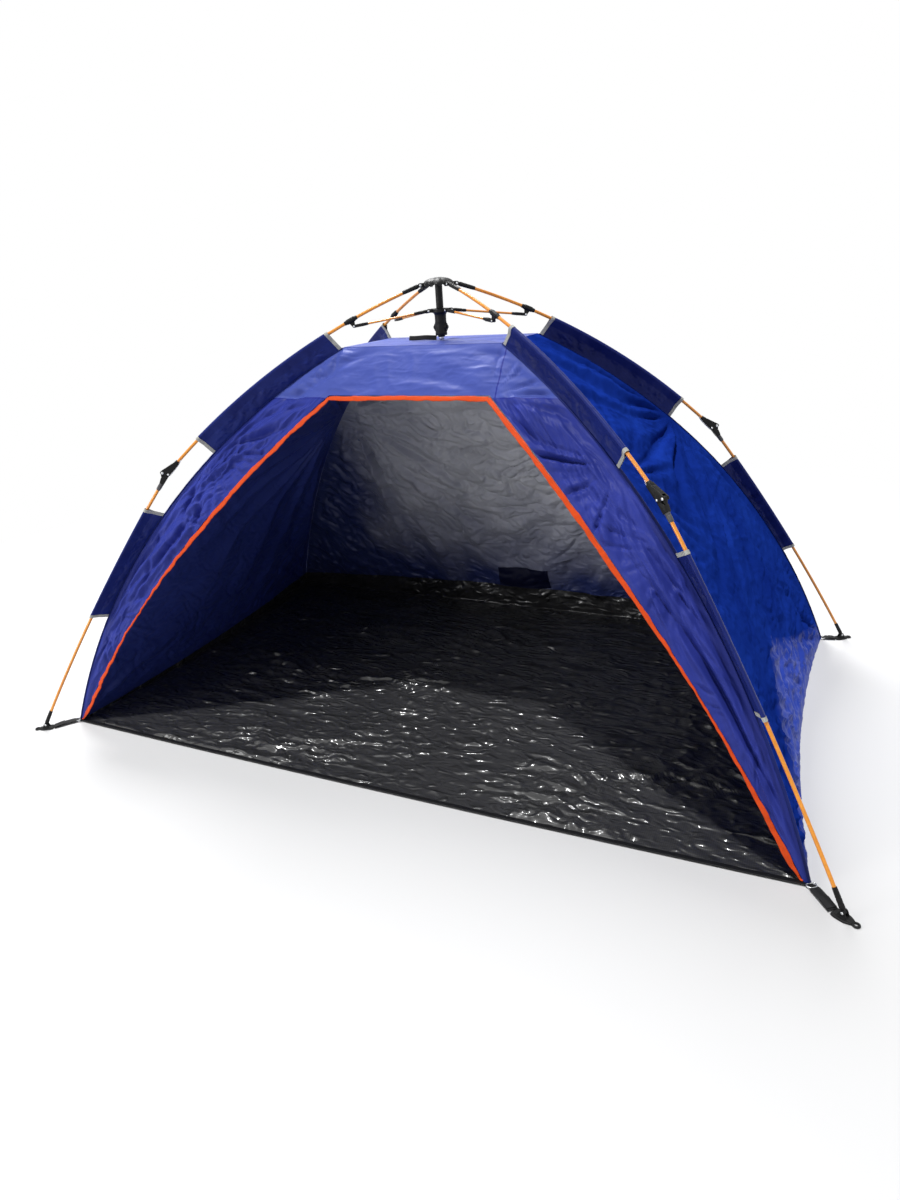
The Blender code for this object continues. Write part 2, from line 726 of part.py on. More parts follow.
def side_wall(name, side):
    shares = np.linspace(0, 1, wall_rows)
    heights = heights_down(shares)
    front, back = seam_at_height(side, -1, heights), seam_at_height(side, 1, heights)
    across_shares = np.linspace(0, 1, side_columns)
    rows = []
    for a, b, share in zip(front, back, shares):
        row = a + np.outer(across_shares, b - a)
        row[:, 0] -= side * side_hem_bow * share ** 2 * 4 * across_shares * (1 - across_shares)
        rows.append(row)
    panel(name, rows, "blue_polyester")


def back_wall():
    shares = np.linspace(0, 1, wall_rows)
    heights = heights_down(shares)
    left, right = seam_at_height(-1, 1, heights), seam_at_height(1, 1, heights)
    left[:, 0] += seam_inset
    right[:, 0] -= seam_inset
    across_shares = np.linspace(0, 1, back_columns)
    rows = []
    for a, b, share in zip(left, right, shares):
        row = a + np.outer(across_shares, b - a)
        row[:, 1] -= back_hem_bow * share ** 2 * 4 * across_shares * (1 - across_shares)
        rows.append(row)
    panel("back_wall", rows, "blue_polyester")


def front_depth(heights):
    """How far forward the front panel lies at the given heights."""
    return seam_at_height(1, -1, heights)[:, 1]


def door_edge(offset):
    """The doorway's edge from its left foot over the top to its right foot, as (x, z) points.

    A positive offset moves the edge outwards, into the panel.
    """
    foot = np.array([floor_half_width - door_corner_gap, ground_clearance])
    top = np.array([door_top_half_width, door_top])
    length = np.linalg.norm(foot - top)
    turn = 4 * atan2(2 * door_side_bow, length)
    shares = np.linspace(0, 1, 15)
    side = []
    for share in shares:
        place, heading, _ = bow_at(top, foot, turn, share)
        side.append(place + offset * np.array([-sin(heading), cos(heading)]))
    side = np.array(side)
    top_heading = bow_at(top, foot, turn, 0)[1]
    side[0] = top + offset * np.array([tan(-top_heading / 2), 1.0])
    side[-1] = foot + offset * np.array([1 / cos(atan2(side[-1][1] - side[-2][1], side[-1][0] - side[-2][0])
                                                 + QUARTER_TURN), 0])
    left = side[::-1] * np.array([-1, 1])
    over = np.linspace(left[-1], side[0], 7)[1:-1]
    return np.vstack([left, over, side])


def front_strip(name, inner, outer, rows, material_key):
    grid = []
    for share in np.linspace(0, 1, rows):
        line = inner + (outer - inner) * share
        grid.append(np.column_stack([line[:, 0], front_depth(line[:, 1]), line[:, 1]]))
    return panel(name, grid[::-1], material_key)


def front_wall():
    inner = door_edge(trim_width / 2 + touch)
    sides = (len(inner) - 5) // 2
    shares = np.linspace(0, 1, sides)
    heights = heights_down(shares)
    right = seam_at_height(1, -1, heights)[:, [0, 2]] - np.array([seam_inset, 0])
    left = right[::-1] * np.array([-1, 1])
    over = np.linspace(left[-1], right[0], 7)[1:-1]
    outer = np.vstack([left, over, right])
    front_strip("front_wall", inner, outer, 4, "blue_polyester")


def door_trim():
    front_strip("door_trim", door_edge(-trim_width / 2), door_edge(trim_width / 2), 2, "orange_binding")


def roof():
    edge = np.linspace(-1, 1, 7)
    x = edge * roof_half_width
    outline = [(v, -roof_half_depth) for v in x[:-1]]
    outline += [(roof_half_width, v * roof_half_depth) for v in edge[:-1]]
    outline += [(-v, roof_half_depth) for v in x[:-1]]
    outline += [(-roof_half_width, -v * roof_half_depth) for v in edge[:-1]]
    mesh = plate(outline, fabric, Matrix.Translation((0, 0, roof_height + fabric / 2)))
    place_root("roof", mesh, "blue_polyester")


def hem_share(height):
    """The side and back panels' grid share at a height."""
    shares = np.linspace(0, 1, 60)
    return float(np.interp(height, heights_down(shares)[::-1], shares[::-1]))


def side_place(height, over, inset):
    """A point inset from the right panel's outer face, at a share from front to back."""
    front, back = seam_at_height(1, -1, [height])[0], seam_at_height(1, 1, [height])[0]
    x = front[0] + (back[0] - front[0]) * over - inset
    x -= side_hem_bow * hem_share(height) ** 2 * 4 * over * (1 - over)
    y = front[1] + inset + (back[1] - front[1] - 2 * inset) * over
    return np.array([x, y])


def back_place(height, over, inset):
    """A point inset from the back panel's outer face, at a share from right to left."""
    place = seam_at_height(1, 1, [height])[0]
    x = (place[0] - inset) * (1 - 2 * over)
    y = place[1] - back_hem_bow * hem_share(height) ** 2 * 4 * over * (1 - over) - inset
    return np.array([x, y])


def tray_edge(raised, inset):
    """The groundsheet's edge on the ground, or the top edge of its raised lip."""
    low = fabric + threshold_hem
    right, back, front = [], [], []
    for over in np.linspace(0, 1, side_columns)[:-1]:
        height = (low + (lip_corner_height - low) * over) if raised else 0
        right.append([*side_place(height, over, inset), height])
    for over in np.linspace(0, 1, back_columns):
        rise = lip_corner_height + (lip_back_height - lip_corner_height) * 4 * over * (1 - over)
        height = rise if raised else 0
        back.append([*back_place(height, over, inset), height])
    left = [[-x, y, z] for x, y, z in right[::-1]]
    corner_x, corner_y = side_place(0, 0, inset)
    for over in np.linspace(0, 1, back_columns)[1:-1]:
        y = corner_y - threshold_bow * 4 * over * (1 - over)
        front.append([-corner_x * (1 - 2 * over), y, low if raised else 0])
    return np.array(right + back + left + front)


def floor():
    """The groundsheet: flat on the ground, with a lip that rises against the side and back panels."""
    clear = 2 * fabric + 4 * touch
    ground, lip = tray_edge(False, clear), tray_edge(True, clear)
    lip_inside, inside = tray_edge(True, clear + fabric), tray_edge(False, clear + fabric)
    inside[:, 2] = fabric
    rings = [ground, lip, lip_inside, inside]
    count = len(ground)
    faces = [tuple(range(count))[::-1], tuple(range(3 * count, 4 * count))]
    for k in range(3):
        for i in range(count):
            j = (i + 1) % count
            faces.append((k * count + i, k * count + j, (k + 1) * count + j, (k + 1) * count + i))
    mesh = bpy.data.meshes.new("floor")
    mesh.from_pydata([tuple(p) for p in np.vstack(rings)], [], faces)
    place_root("floor", mesh, "black_sheeting")


def pocket():
    """A shallow pocket on the inside of the back wall, near the floor."""
    clear = (fabric + touch) * 1.25
    wall_heights = heights_down(np.linspace(0, 1, wall_rows))[::-1]
    wall_shares = np.linspace(1, 0, wall_rows)
    wall_depths = seam_at_height(1, 1, wall_heights)[:, 1] - back_hem_bow * wall_shares ** 2
    rows = []
    for height in np.linspace(pocket_top, pocket_base, 3):
        xs = np.linspace(-pocket_half_width, pocket_half_width, 5)
        depth = np.interp(height, wall_heights, wall_depths) - clear
        rows.append(np.column_stack([xs, np.full(5, depth), np.full(5, height)]))
    made = panel("pocket", rows, "navy_polyester")
    made.modifiers["thickness"].thickness = pocket_thickness


def roof_strap():
    x = -roof_strap_start - roof_strap_length
    z = roof_height + fabric + touch
    mesh = box((x, -roof_strap_width / 2, z), (-roof_strap_start, roof_strap_width / 2, z + roof_strap_thickness))
    place_root("roof_strap", mesh, "black_webbing")


# Sleeves: a tube of fabric round the pole with a fin down to the seam

def sleeve(name, key, at, start, stop, shares, stations):
    side, end = LEGS[key]
    turn = np.array(leg_turn(key).to_3x3())
    sides = 8
    bore = (pole_radius + bore_clearance) / cos(pi / sides)
    outside = bore + sleeve_wall
    distances = np.linspace(start, stop, stations)
    seam_places = seam(side, end, np.linspace(*shares, stations))
    tail_angle = fabric / 2 / outside
    angles = np.linspace(-QUARTER_TURN + tail_angle, 1.5 * pi - tail_angle, sides + 1)
    outer, inner = [], []
    for distance, foot_place in zip(distances, seam_places):
        place, heading = at(distance)
        centre = turn @ np.array([place[0], 0, place[1]])
        out = turn @ np.array([-sin(heading), 0, cos(heading)])
        flat = turn @ np.array([0, 1.0, 0])
        hang = foot_place - centre
        reach = np.linalg.norm(hang) - sleeve_seam_gap
        tail = centre + hang / np.linalg.norm(hang) * reach
        ring = [centre + outside * (cos(a) * flat + sin(a) * out) for a in angles]
        tail_points = [tail - flat * fabric / 2, tail + flat * fabric / 2]
        outer.append([tail_points[1], *ring, tail_points[0]])
        hole = 2 * pi * np.arange(sides) / sides
        inner.append([centre + bore * (cos(a) * flat + sin(a) * out) for a in hole])
    mesh = hollow_sweep(name, np.array(outer), np.array(inner))
    return place_root(name, mesh, "navy_polyester")


def hollow_sweep(name, outer, inner):
    """A closed tube whose section has a hole: walls between stations, and two caps."""
    stations, count = outer.shape[:2]
    hole = inner.shape[1]
    points = np.vstack([outer.reshape(-1, 3), inner.reshape(-1, 3)])
    base = stations * count
    faces = []
    for i in range(stations - 1):
        for j in range(count):
            k = (j + 1) % count
            faces.append((i * count + j, i * count + k, (i + 1) * count + k, (i + 1) * count + j))
        for j in range(hole):
            k = (j + 1) % hole
            faces.append((base + i * hole + k, base + i * hole + j,
                          base + (i + 1) * hole + j, base + (i + 1) * hole + k))
    for i in (0, stations - 1):
        loops = [[Vector(p) for p in outer[i]], [Vector(p) for p in inner[i]]]
        number = [i * count + j for j in range(count)] + [base + i * hole + j for j in range(hole)]
        faces += [tuple(number[v] for v in triangle) for triangle in tessellate_polygon(loops)]
    mesh = bpy.data.meshes.new(name)
    mesh.from_pydata([tuple(p) for p in points], [], faces)
    work = bmesh.new()
    work.from_mesh(mesh)
    bmesh.ops.recalc_face_normals(work, faces=work.faces)
    work.to_mesh(mesh)
    work.free()
    return mesh


def corner_strap(name, key):
    """Webbing from the floor's corner to the heel of the foot."""
    side, end = LEGS[key]
    start = corner(side, end)
    azimuth = atan2(end * sin(leg_azimuth), side * cos(leg_azimuth))
    heel = (foot_radius - foot_heel) * np.array([cos(azimuth), sin(azimuth), 0])
    ahead = heel - start
    reach = np.linalg.norm(ahead)
    heading = atan2(ahead[1], ahead[0])
    skew = abs(heading - azimuth)
    stop = reach - touch - strap_width / 2 * tan(skew)
    low = ground_clearance
    frame = Matrix.Translation(start) @ Matrix.Rotation(heading, 4, "Z")
    tip = strap_width * 0.3
    outline = [(2 * touch, -tip), (strap_width * 0.5, -strap_width / 2), (stop, -strap_width / 2),
               (stop, strap_width / 2), (strap_width * 0.5, strap_width / 2), (2 * touch, tip)]
    lift = Matrix.Translation((0, 0, low + strap_thickness / 2))
    return place_root(name, plate(outline, strap_thickness, frame @ lift), "black_webbing")


# Placing: an empty on each joint's axis carries the pieces that turn about it

def axis_empty(name, parent, place):
    made = bpy.data.objects.new(name, None)
    made.empty_display_size = pole_radius
    parts.objects.link(made)
    made.parent = parent
    made.location = place
    return made


def smooth(mesh):
    mesh.shade_smooth()
    mesh.set_sharp_from_angle(angle=radians(35))


def add_part(name, mesh, material_key, parent=None):
    made = bpy.data.objects.new(name, mesh)
    parts.objects.link(made)
    if mesh.materials:
        mesh.materials.clear()
    mesh.materials.append(MATERIALS[material_key])
    smooth(mesh)
    made.parent = parent
    return made


def place_root(name, mesh, material_key):
    return add_part(name, mesh, material_key)


def relative(mesh, pivot):
    """The same mesh with the joint's axis as its origin."""
    return moved(mesh, Matrix.Translation((-pivot[0], 0, -pivot[1])))


def in_parent(pivot, parent_pivot):
    return (pivot[0] - parent_pivot[0], 0, pivot[1] - parent_pivot[1])


def build_canopy():
    roof()
    front_wall()
    door_trim()
    back_wall()
    side_wall("left_wall", -1)
    side_wall("right_wall", 1)
    floor()
    pocket()
    roof_strap()
    for key in LEGS:
        sleeve(f"upper_sleeve_{key}", key, upper_at, upper_sleeve_start, upper_length - upper_sleeve_stop,
               upper_seam_shares, 8)
        sleeve(f"lower_sleeve_{key}", key, lower_at, lower_sleeve_start, lower_sleeve_start + lower_sleeve_length,
               lower_seam_shares, 6)
        corner_strap(f"corner_strap_{key}", key)


def build_centre():
    place_root("hub", hub(), "black_plastic")
    place_root("mast", mast(), "black_plastic")
    place_root("mast_tip", mast_tip(), "steel")
    axis = axis_empty("runner_axis", None, (0, 0, runner_pivot[1]))
    drop = Matrix.Translation((0, 0, -runner_pivot[1]))
    add_part("runner", moved(runner(), drop), "black_plastic", axis)
    add_part("button_right", moved(button(1), drop), "black_plastic", axis)
    add_part("button_left", moved(button(-1), drop), "black_plastic", axis)
    return axis


def build_legs(runner_axis):
    upper = {"upper_pole": (relative(upper_pole(), hub_pivot), "orange_pole"),
             "clamp": (relative(clamp(), hub_pivot), "black_plastic"),
             "elbow_socket": (relative(elbow_socket(), hub_pivot), "black_plastic"),
             "elbow_pin": (relative(elbow_pin(), hub_pivot), "steel")}
    lower = {"lower_pole": (relative(lower_pole(), elbow_pivot), "orange_pole"),
             "elbow_knuckle": (relative(elbow_knuckle(), elbow_pivot), "black_plastic")}
    shoe = relative(foot(), foot_pivot)
    link = relative(strut(), runner_pivot)
    for key in LEGS:
        turn = leg_turn(key).to_euler()
        leg = axis_empty(f"leg_{key}", None, (0, 0, 0))
        leg.rotation_euler = turn
        hub_axis = axis_empty(f"hub_axis_{key}", leg, in_parent(hub_pivot, (0, 0)))
        for name, (mesh, key_material) in upper.items():
            add_part(f"{name}_{key}", mesh.copy(), key_material, hub_axis)
        elbow_axis = axis_empty(f"elbow_axis_{key}", hub_axis, in_parent(elbow_pivot, hub_pivot))
        for name, (mesh, key_material) in lower.items():
            add_part(f"{name}_{key}", mesh.copy(), key_material, elbow_axis)
        foot_axis = axis_empty(f"foot_axis_{key}", elbow_axis, in_parent(foot_pivot, elbow_pivot))
        add_part(f"foot_{key}", shoe.copy(), "black_plastic", foot_axis)
        turned_frame = axis_empty(f"strut_turn_{key}", runner_axis, (0, 0, 0))
        turned_frame.rotation_euler = turn
        strut_axis = axis_empty(f"strut_axis_{key}", turned_frame, (runner_pivot[0], 0, 0))
        add_part(f"strut_{key}", link.copy(), "orange_pole", strut_axis)


build_canopy()
build_legs(build_centre())
bpy.context.view_layer.update()
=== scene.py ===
# %% [markdown]
# # A pop-up beach tent
#
# The real object is an open-fronted beach tent. Four glass-fibre legs meet in a black hub, and each folds
# at an elbow. A blue polyester canopy hangs under the legs from fabric sleeves, and a black groundsheet is
# sewn into it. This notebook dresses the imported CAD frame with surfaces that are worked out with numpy, one
# real piece at a time.

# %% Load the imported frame
import math

import bpy
import numpy as np
from mathutils import Matrix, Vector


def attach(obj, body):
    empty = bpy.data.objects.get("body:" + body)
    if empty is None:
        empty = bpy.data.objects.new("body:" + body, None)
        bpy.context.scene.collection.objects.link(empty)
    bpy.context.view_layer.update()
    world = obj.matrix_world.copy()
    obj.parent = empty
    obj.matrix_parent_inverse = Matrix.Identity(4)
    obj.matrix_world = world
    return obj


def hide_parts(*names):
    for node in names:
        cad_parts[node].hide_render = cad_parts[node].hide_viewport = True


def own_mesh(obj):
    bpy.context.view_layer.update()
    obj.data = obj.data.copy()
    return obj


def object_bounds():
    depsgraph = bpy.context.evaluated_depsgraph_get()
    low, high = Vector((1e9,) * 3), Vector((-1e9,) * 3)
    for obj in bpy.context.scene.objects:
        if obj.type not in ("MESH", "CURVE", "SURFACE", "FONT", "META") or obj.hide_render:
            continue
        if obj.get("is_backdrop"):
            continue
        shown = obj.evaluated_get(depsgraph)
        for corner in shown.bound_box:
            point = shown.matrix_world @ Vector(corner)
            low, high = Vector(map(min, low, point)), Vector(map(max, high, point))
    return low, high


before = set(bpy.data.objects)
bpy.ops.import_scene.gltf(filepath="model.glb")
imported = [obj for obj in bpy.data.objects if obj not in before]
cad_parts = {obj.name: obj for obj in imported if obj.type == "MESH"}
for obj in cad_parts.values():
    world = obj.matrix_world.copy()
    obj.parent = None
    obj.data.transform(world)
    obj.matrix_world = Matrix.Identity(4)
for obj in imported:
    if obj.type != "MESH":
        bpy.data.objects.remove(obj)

cad_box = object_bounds()
print("packed nodes:", len(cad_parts), "box:", cad_box)

# %% [markdown]
# ## Sizes
#
# These are the same named sizes as in the part's source, in metres. The origin is on the ground under the
# hub, +Z is up and -Y is out of the doorway. Every surface below is worked out from them, so that it lies
# on its CAD solid.

# %% Sizes of the frame
peak = 1.300
foot_half_width, foot_half_depth = 2.37 / 2, 1.445 / 2
foot_radius = math.hypot(foot_half_width, foot_half_depth)
leg_azimuth = math.atan2(foot_half_depth, foot_half_width)
hub_pivot = np.array([0.0525, peak - 0.019])
elbow = np.array([0.850, peak - 0.498])
foot_pivot = np.array([foot_radius, 0.016])
upper_turn, lower_turn = math.radians(25), math.radians(8)
pole_radius = 0.0045
LEGS = {"fl": (-1, -1), "fr": (1, -1), "br": (1, 1), "bl": (-1, 1)}
print("foot pivots are", round(foot_radius, 4), "m from the mast axis")

# %% Sizes of the canopy
roof_corner = 0.287         # from the mast's axis to a corner of the roof panel
roof_half = roof_corner * np.array([math.cos(leg_azimuth), math.sin(leg_azimuth)])
floor_half_width = foot_half_width - 0.065
floor_front, floor_back = -(foot_half_depth - 0.0775), foot_half_depth - 0.0225
wall_top = 1.1279
ground_gap = 0.0012
seam_inset = 0.0028
seam_drop = 0.056           # how far a corner seam stays inside the elbow
door_top = wall_top - 0.128
door_top_half = 0.243
strip_heading = -0.62       # a front strip folds this far towards -Y for 1 towards its own side
cloth = 0.0009              # how thick the canopy's cloth is drawn
wall_cloth = 0.0014         # thicker in the side and back walls, whose creases are sharper
print("roof panel", 2 * roof_half.round(3), "door top", round(door_top, 4))

# %% [markdown]
# ## Small tools
#
# A piece is one or more closed shells. Each shell is points, four-sided faces and the few flat faces that
# close its ends. The helpers below stack rings of points into a shell and turn whole shells at once, so no
# loop runs over vertices. A shell whose volume comes out negative is inside out, and its faces are turned.

# %% Shells from rings
def full_turn(count, start=0.0):
    """Evenly spaced angles of one whole turn."""
    return 2 * np.pi * (np.arange(count) + start) / count


def flattened(wave, power):
    """A wave from -1 to 1, flatter at both ends where the power is under 1."""
    return np.sign(wave) * np.abs(wave) ** power


def superellipse(width, height, square, sides):
    """Rings |y / width|^square + |z / height|^square = 1, one for each width."""
    turn = full_turn(sides, 0.5)
    power = 2 / np.atleast_1d(square)[:, None]
    y = flattened(np.cos(turn), power) * np.atleast_1d(width)[:, None]
    z = flattened(np.sin(turn), power) * np.atleast_1d(height)[:, None]
    return y, z


def loft(rings, closed=False):
    """Rings of points (m, n, 3) joined in order: point j of ring i, j+1 of ring i, j+1 and j of ring i+1.
    The first and last ring get a flat face, or are joined to each other when closed."""
    rings = np.asarray(rings, float)
    m, n = rings.shape[:2]
    i = np.arange(m if closed else m - 1)[:, None]
    j = np.arange(n)[None, :]
    here, there = (i % m) * n, ((i + 1) % m) * n
    ahead = (j + 1) % n
    quads = np.stack(np.broadcast_arrays(here + j, here + ahead, there + ahead, there + j), -1)
    caps = [] if closed else [np.arange(n)[::-1], (m - 1) * n + np.arange(n)]
    return rings.reshape(-1, 3), quads.reshape(-1, 4), caps


def volume(points, quads, caps):
    """A sixth of the sum of a . (b x c) over all triangles; a face fan starts at its first corner."""
    triangles = [quads[:, [0, 1, 2]], quads[:, [0, 2, 3]]]
    triangles += [np.stack([np.full(len(c) - 2, c[0]), c[1:-1], c[2:]], -1) for c in caps]
    a, b, c = (points[np.vstack(triangles)[:, k]] for k in range(3))
    return float(np.einsum("ij,ij->i", a, np.cross(b, c)).sum() / 6)


def facing_out(shell):
    points, quads, caps = shell
    if volume(points, quads, caps) < 0:
        return points, quads[:, ::-1], [c[::-1] for c in caps]
    return shell


def moved(shell, change):
    return change(shell[0]), shell[1], shell[2]

# %% Meshes from arrays
def linked(name, data, columns=None):
    """A new object in the scene. Columns are its X, Y and Z axes and its place."""
    thing = bpy.data.objects.new(name, data)
    bpy.context.scene.collection.objects.link(thing)
    if columns is not None:
        matrix = np.eye(4)
        matrix[:3] = np.stack(columns, -1)
        thing.matrix_world = Matrix(matrix.tolist())
    return thing


def fill_mesh(name, points, faces):
    """A smooth mesh from a list of face arrays, each (count, corners)."""
    mesh = bpy.data.meshes.new(name)
    sizes = np.concatenate([np.full(len(f), f.shape[1]) for f in faces])
    corners = np.concatenate([f.ravel() for f in faces])
    mesh.vertices.add(len(points))
    mesh.vertices.foreach_set("co", np.ascontiguousarray(points, np.float32).ravel())
    mesh.loops.add(len(corners))
    mesh.loops.foreach_set("vertex_index", corners.astype(np.int32))
    mesh.polygons.add(len(sizes))
    mesh.polygons.foreach_set("loop_start", (np.cumsum(sizes) - sizes).astype(np.int32))
    mesh.polygons.foreach_set("loop_total", sizes.astype(np.int32))
    mesh.update(calc_edges=True)
    mesh.validate()
    mesh.shade_smooth()
    return mesh, corners


def map_cloth(mesh, corners, flat):
    """Gives each corner of the mesh its place in metres on the flat cloth."""
    flat_map = mesh.uv_layers.new(name="cloth")
    flat_map.data.foreach_set("uv", flat[corners].astype(np.float32).ravel())


def place_piece(name, mesh, materials, body, slot, replaced=()):
    """Links the mesh as a piece that rides on a body and stands for CAD nodes."""
    thing = linked(name, mesh)
    for material in materials:
        mesh.materials.append(material)
    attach(thing, body)
    if replaced:
        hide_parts(*replaced)
    return thing


def rigid_piece(name, shells, material, body, slot, replaced=(), crease=38, flat=None):
    """Closed shells as one piece, smooth apart from edges sharper than the crease angle."""
    points, faces, start = [], [], 0
    for shell in map(facing_out, shells):
        points.append(shell[0])
        faces += [shell[1] + start] + [c[None, :] + start for c in shell[2]]
        start += len(shell[0])
    mesh, corners = fill_mesh(name, np.vstack(points), faces)
    if flat is not None:
        map_cloth(mesh, corners, flat)
    mesh.set_sharp_from_angle(angle=math.radians(crease))
    return place_piece(name, mesh, [material], body, slot, replaced)

# %% Shader nodes
def colour(code):
    """An sRGB hex colour as the linear values a shader uses: c / 12.92 up to 0.04045, above it ((c + 0.055)
    / 1.055) ** 2.4."""
    srgb = np.array([int(code[i:i + 2], 16) for i in (1, 3, 5)]) / 255
    return (*np.where(srgb <= 0.04045, srgb / 12.92, ((srgb + 0.055) / 1.055) ** 2.4).tolist(), 1.0)


def add(tree, kind, inputs=None, **settings):
    """Adds one node. Settings are its attributes; inputs gives a socket a value, or another socket to
    link."""
    made = tree.nodes.new(kind)
    for name, value in settings.items():
        setattr(made, name, value)
    for key, value in (inputs or {}).items():
        if isinstance(value, bpy.types.NodeSocket):
            tree.links.new(value, made.inputs[key])
        else:
            made.inputs[key].default_value = value
    return made


def maths(tree, operation, *values):
    """One operation on sockets or plain numbers."""
    return add(tree, "ShaderNodeMath", dict(enumerate(values)), operation=operation).outputs[0]


def remap(tree, value, low, high, to_low=0.0, to_high=1.0):
    """Takes low to to_low and high to to_high, in a straight line between them and level beyond."""
    ends = {"From Min": low, "From Max": high, "To Min": to_low, "To Max": to_high}
    return add(tree, "ShaderNodeMapRange", {"Value": value, **ends}).outputs[0]


def new_finish(name, roughness, metallic=0.0, **sockets):
    """A material, its node tree and its main shader, with plain values on the shader's own sockets."""
    material = bpy.data.materials.new(name)
    material.use_nodes = True
    shader = material.node_tree.nodes["Principled BSDF"]
    shader.inputs["Roughness"].default_value = roughness
    shader.inputs["Metallic"].default_value = metallic
    for key, value in sockets.items():
        shader.inputs[key.replace("_", " ")].default_value = value
    return material, material.node_tree, shader


def drive(tree, shader, **sockets):
    """Links patterns to the shader's sockets."""
    for key, value in sockets.items():
        tree.links.new(value, shader.inputs[key.replace("_", " ")])

# %% [markdown]
# ## The camera and the light
#
# The camera was solved from points of the frame in the photograph: the hub, the elbows, the feet and the
# corners of the canopy. The sun stands almost overhead and a little in front of the doorway, which is read
# from the lit patch on the groundsheet. A wide, low softbox in front stands for the light that bright sand
# throws in through the doorway. A second one, high up behind the tent's left side, draws the soft shadow in
# front of it and to its right.

# %% Camera
view_from = np.array([1.02900287, -2.20810093, 1.29771495])
view_ahead = np.array([-0.40007568, 0.83533503, -0.37703427])
view_right = np.array([0.91058834, 0.40888799, -0.06032816])
view_up = np.array([-0.10377056, 0.36745884, 0.92423248])
focal_pixels, picture_height = 791.57, 1200
lens = bpy.data.cameras.new("camera")
lens.sensor_width = 36
lens.lens = focal_pixels / picture_height * lens.sensor_width
bpy.context.scene.camera = linked("camera", lens, (view_right, view_up, -view_ahead, view_from))
print("lens", round(lens.lens, 2), "mm")

# %% Lamps, world and floor
def aimed(direction, distance):
    """A lamp's axes and place: its own Z axis points back along direction, which runs from the tent to the
    lamp."""
    back = np.asarray(direction, float) / np.linalg.norm(direction)
    side = np.cross([0.0, 1.0, 0.0], back)
    side /= np.linalg.norm(side)
    return side, np.cross(back, side), back, distance * back + [0, 0, 0.4]


def seen_directly(tree):
    """1 for rays that come from the camera, a mirror or glass, which see the white background, and 0 for
    the rest."""
    path = add(tree, "ShaderNodeLightPath").outputs
    sharp = maths(tree, "MAXIMUM", path["Is Glossy Ray"], path["Is Transmission Ray"])
    return maths(tree, "MAXIMUM", path["Is Camera Ray"], sharp)


def whiten(tree, amount, surface, kind, output):
    """Shows white instead of the surface where amount is 1."""
    white = add(tree, kind, {"Color": (1, 1, 1, 1), "Strength": 1.0})
    mixed = add(tree, "ShaderNodeMixShader", {0: amount, 1: surface.outputs[0], 2: white.outputs[0]})
    tree.links.new(mixed.outputs[0], tree.nodes[output].inputs["Surface"])


sun = bpy.data.lights.new("sun", "SUN")
sun.energy = 2.7
sun.angle = math.radians(3)
linked("sun", sun, aimed([-0.07, -0.19, 1.0], 3))
for name, size, energy, direction, distance in (
        ("low_softbox", (3.4, 1.6), 125, (-0.66, -0.82, 0.08), 5.4),
        ("high_softbox", (1.7, 1.7), 230, (-0.46, 0.50, 1.0), 5.0)):
    softbox = bpy.data.lights.new(name, "AREA")
    softbox.shape = "RECTANGLE"
    softbox.size, softbox.size_y = size
    softbox.energy = energy
    linked(name, softbox, aimed(direction, distance))

world = bpy.data.worlds.new("studio")
bpy.context.scene.world = world
world.use_nodes = True
sky = world.node_tree
plain_sky = sky.nodes["Background"]
plain_sky.inputs["Color"].default_value = colour("#FAFBFF")
plain_sky.inputs["Strength"].default_value = 0.27
whiten(sky, seen_directly(sky), plain_sky, "ShaderNodeBackground", "World Output")

floor_size, floor_drop = 9.0, 0.0004
square = np.array([[-1, -1, 0], [1, -1, 0], [1, 1, 0], [-1, 1, 0]], float)
ground_mesh, _ = fill_mesh("studio_floor", floor_size * square - [0, 0, floor_drop], [np.arange(4)[None, :]])
ground = linked("studio_floor", ground_mesh)
paper, tree, matt = new_finish("matt_backdrop_paper", 0.9, Base_Color=colour("#D4D4D4"),
                               Specular_IOR_Level=0.1)
where = add(tree, "ShaderNodeTexCoord").outputs["Object"]
away = add(tree, "ShaderNodeVectorMath", {0: where}, operation="LENGTH").outputs["Value"]
far = maths(tree, "MULTIPLY", remap(tree, away, 1.9, 3.4), seen_directly(tree))
whiten(tree, far, matt, "ShaderNodeEmission", "Material Output")
ground_mesh.materials.append(paper)
ground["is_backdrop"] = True
bpy.context.scene.view_settings.view_transform = "Standard"
print("sun", sun.energy, "lamps", len(bpy.data.lights), "world", plain_sky.inputs["Strength"].default_value)

# %% [markdown]
# ## Finishes
#
# Each finish starts from what the real material is. Cloth patterns follow a map named "cloth", which gives
# every point of a panel its place in metres on the flat panel, so that the weave runs with the cloth. Hard
# pieces use their place in space. A bump height is in metres, so each pattern is worked out from a real
# size.

# %% Helpers for finishes
def cloth_map(tree):
    return add(tree, "ShaderNodeUVMap", uv_map="cloth").outputs["UV"]


def object_map(tree):
    return add(tree, "ShaderNodeTexCoord").outputs["Object"]


def split(tree, vector):
    return add(tree, "ShaderNodeSeparateXYZ", {0: vector}).outputs


def blended(tree, amount, first, second):
    """A colour that runs from the first to the second as amount goes from 0 to 1. Each is a hex code or a
    socket."""
    first, second = (colour(end) if isinstance(end, str) else end for end in (first, second))
    return add(tree, "ShaderNodeMix", {0: amount, 6: first, 7: second}, data_type="RGBA").outputs[2]


def noise(tree, where, scale, detail, roughness=0.5):
    """Smooth clouds, about 0.2 to 0.8. Scale is clouds per metre."""
    sockets = {"Vector": where, "Scale": scale, "Detail": detail, "Roughness": roughness}
    return add(tree, "ShaderNodeTexNoise", sockets).outputs["Fac"]


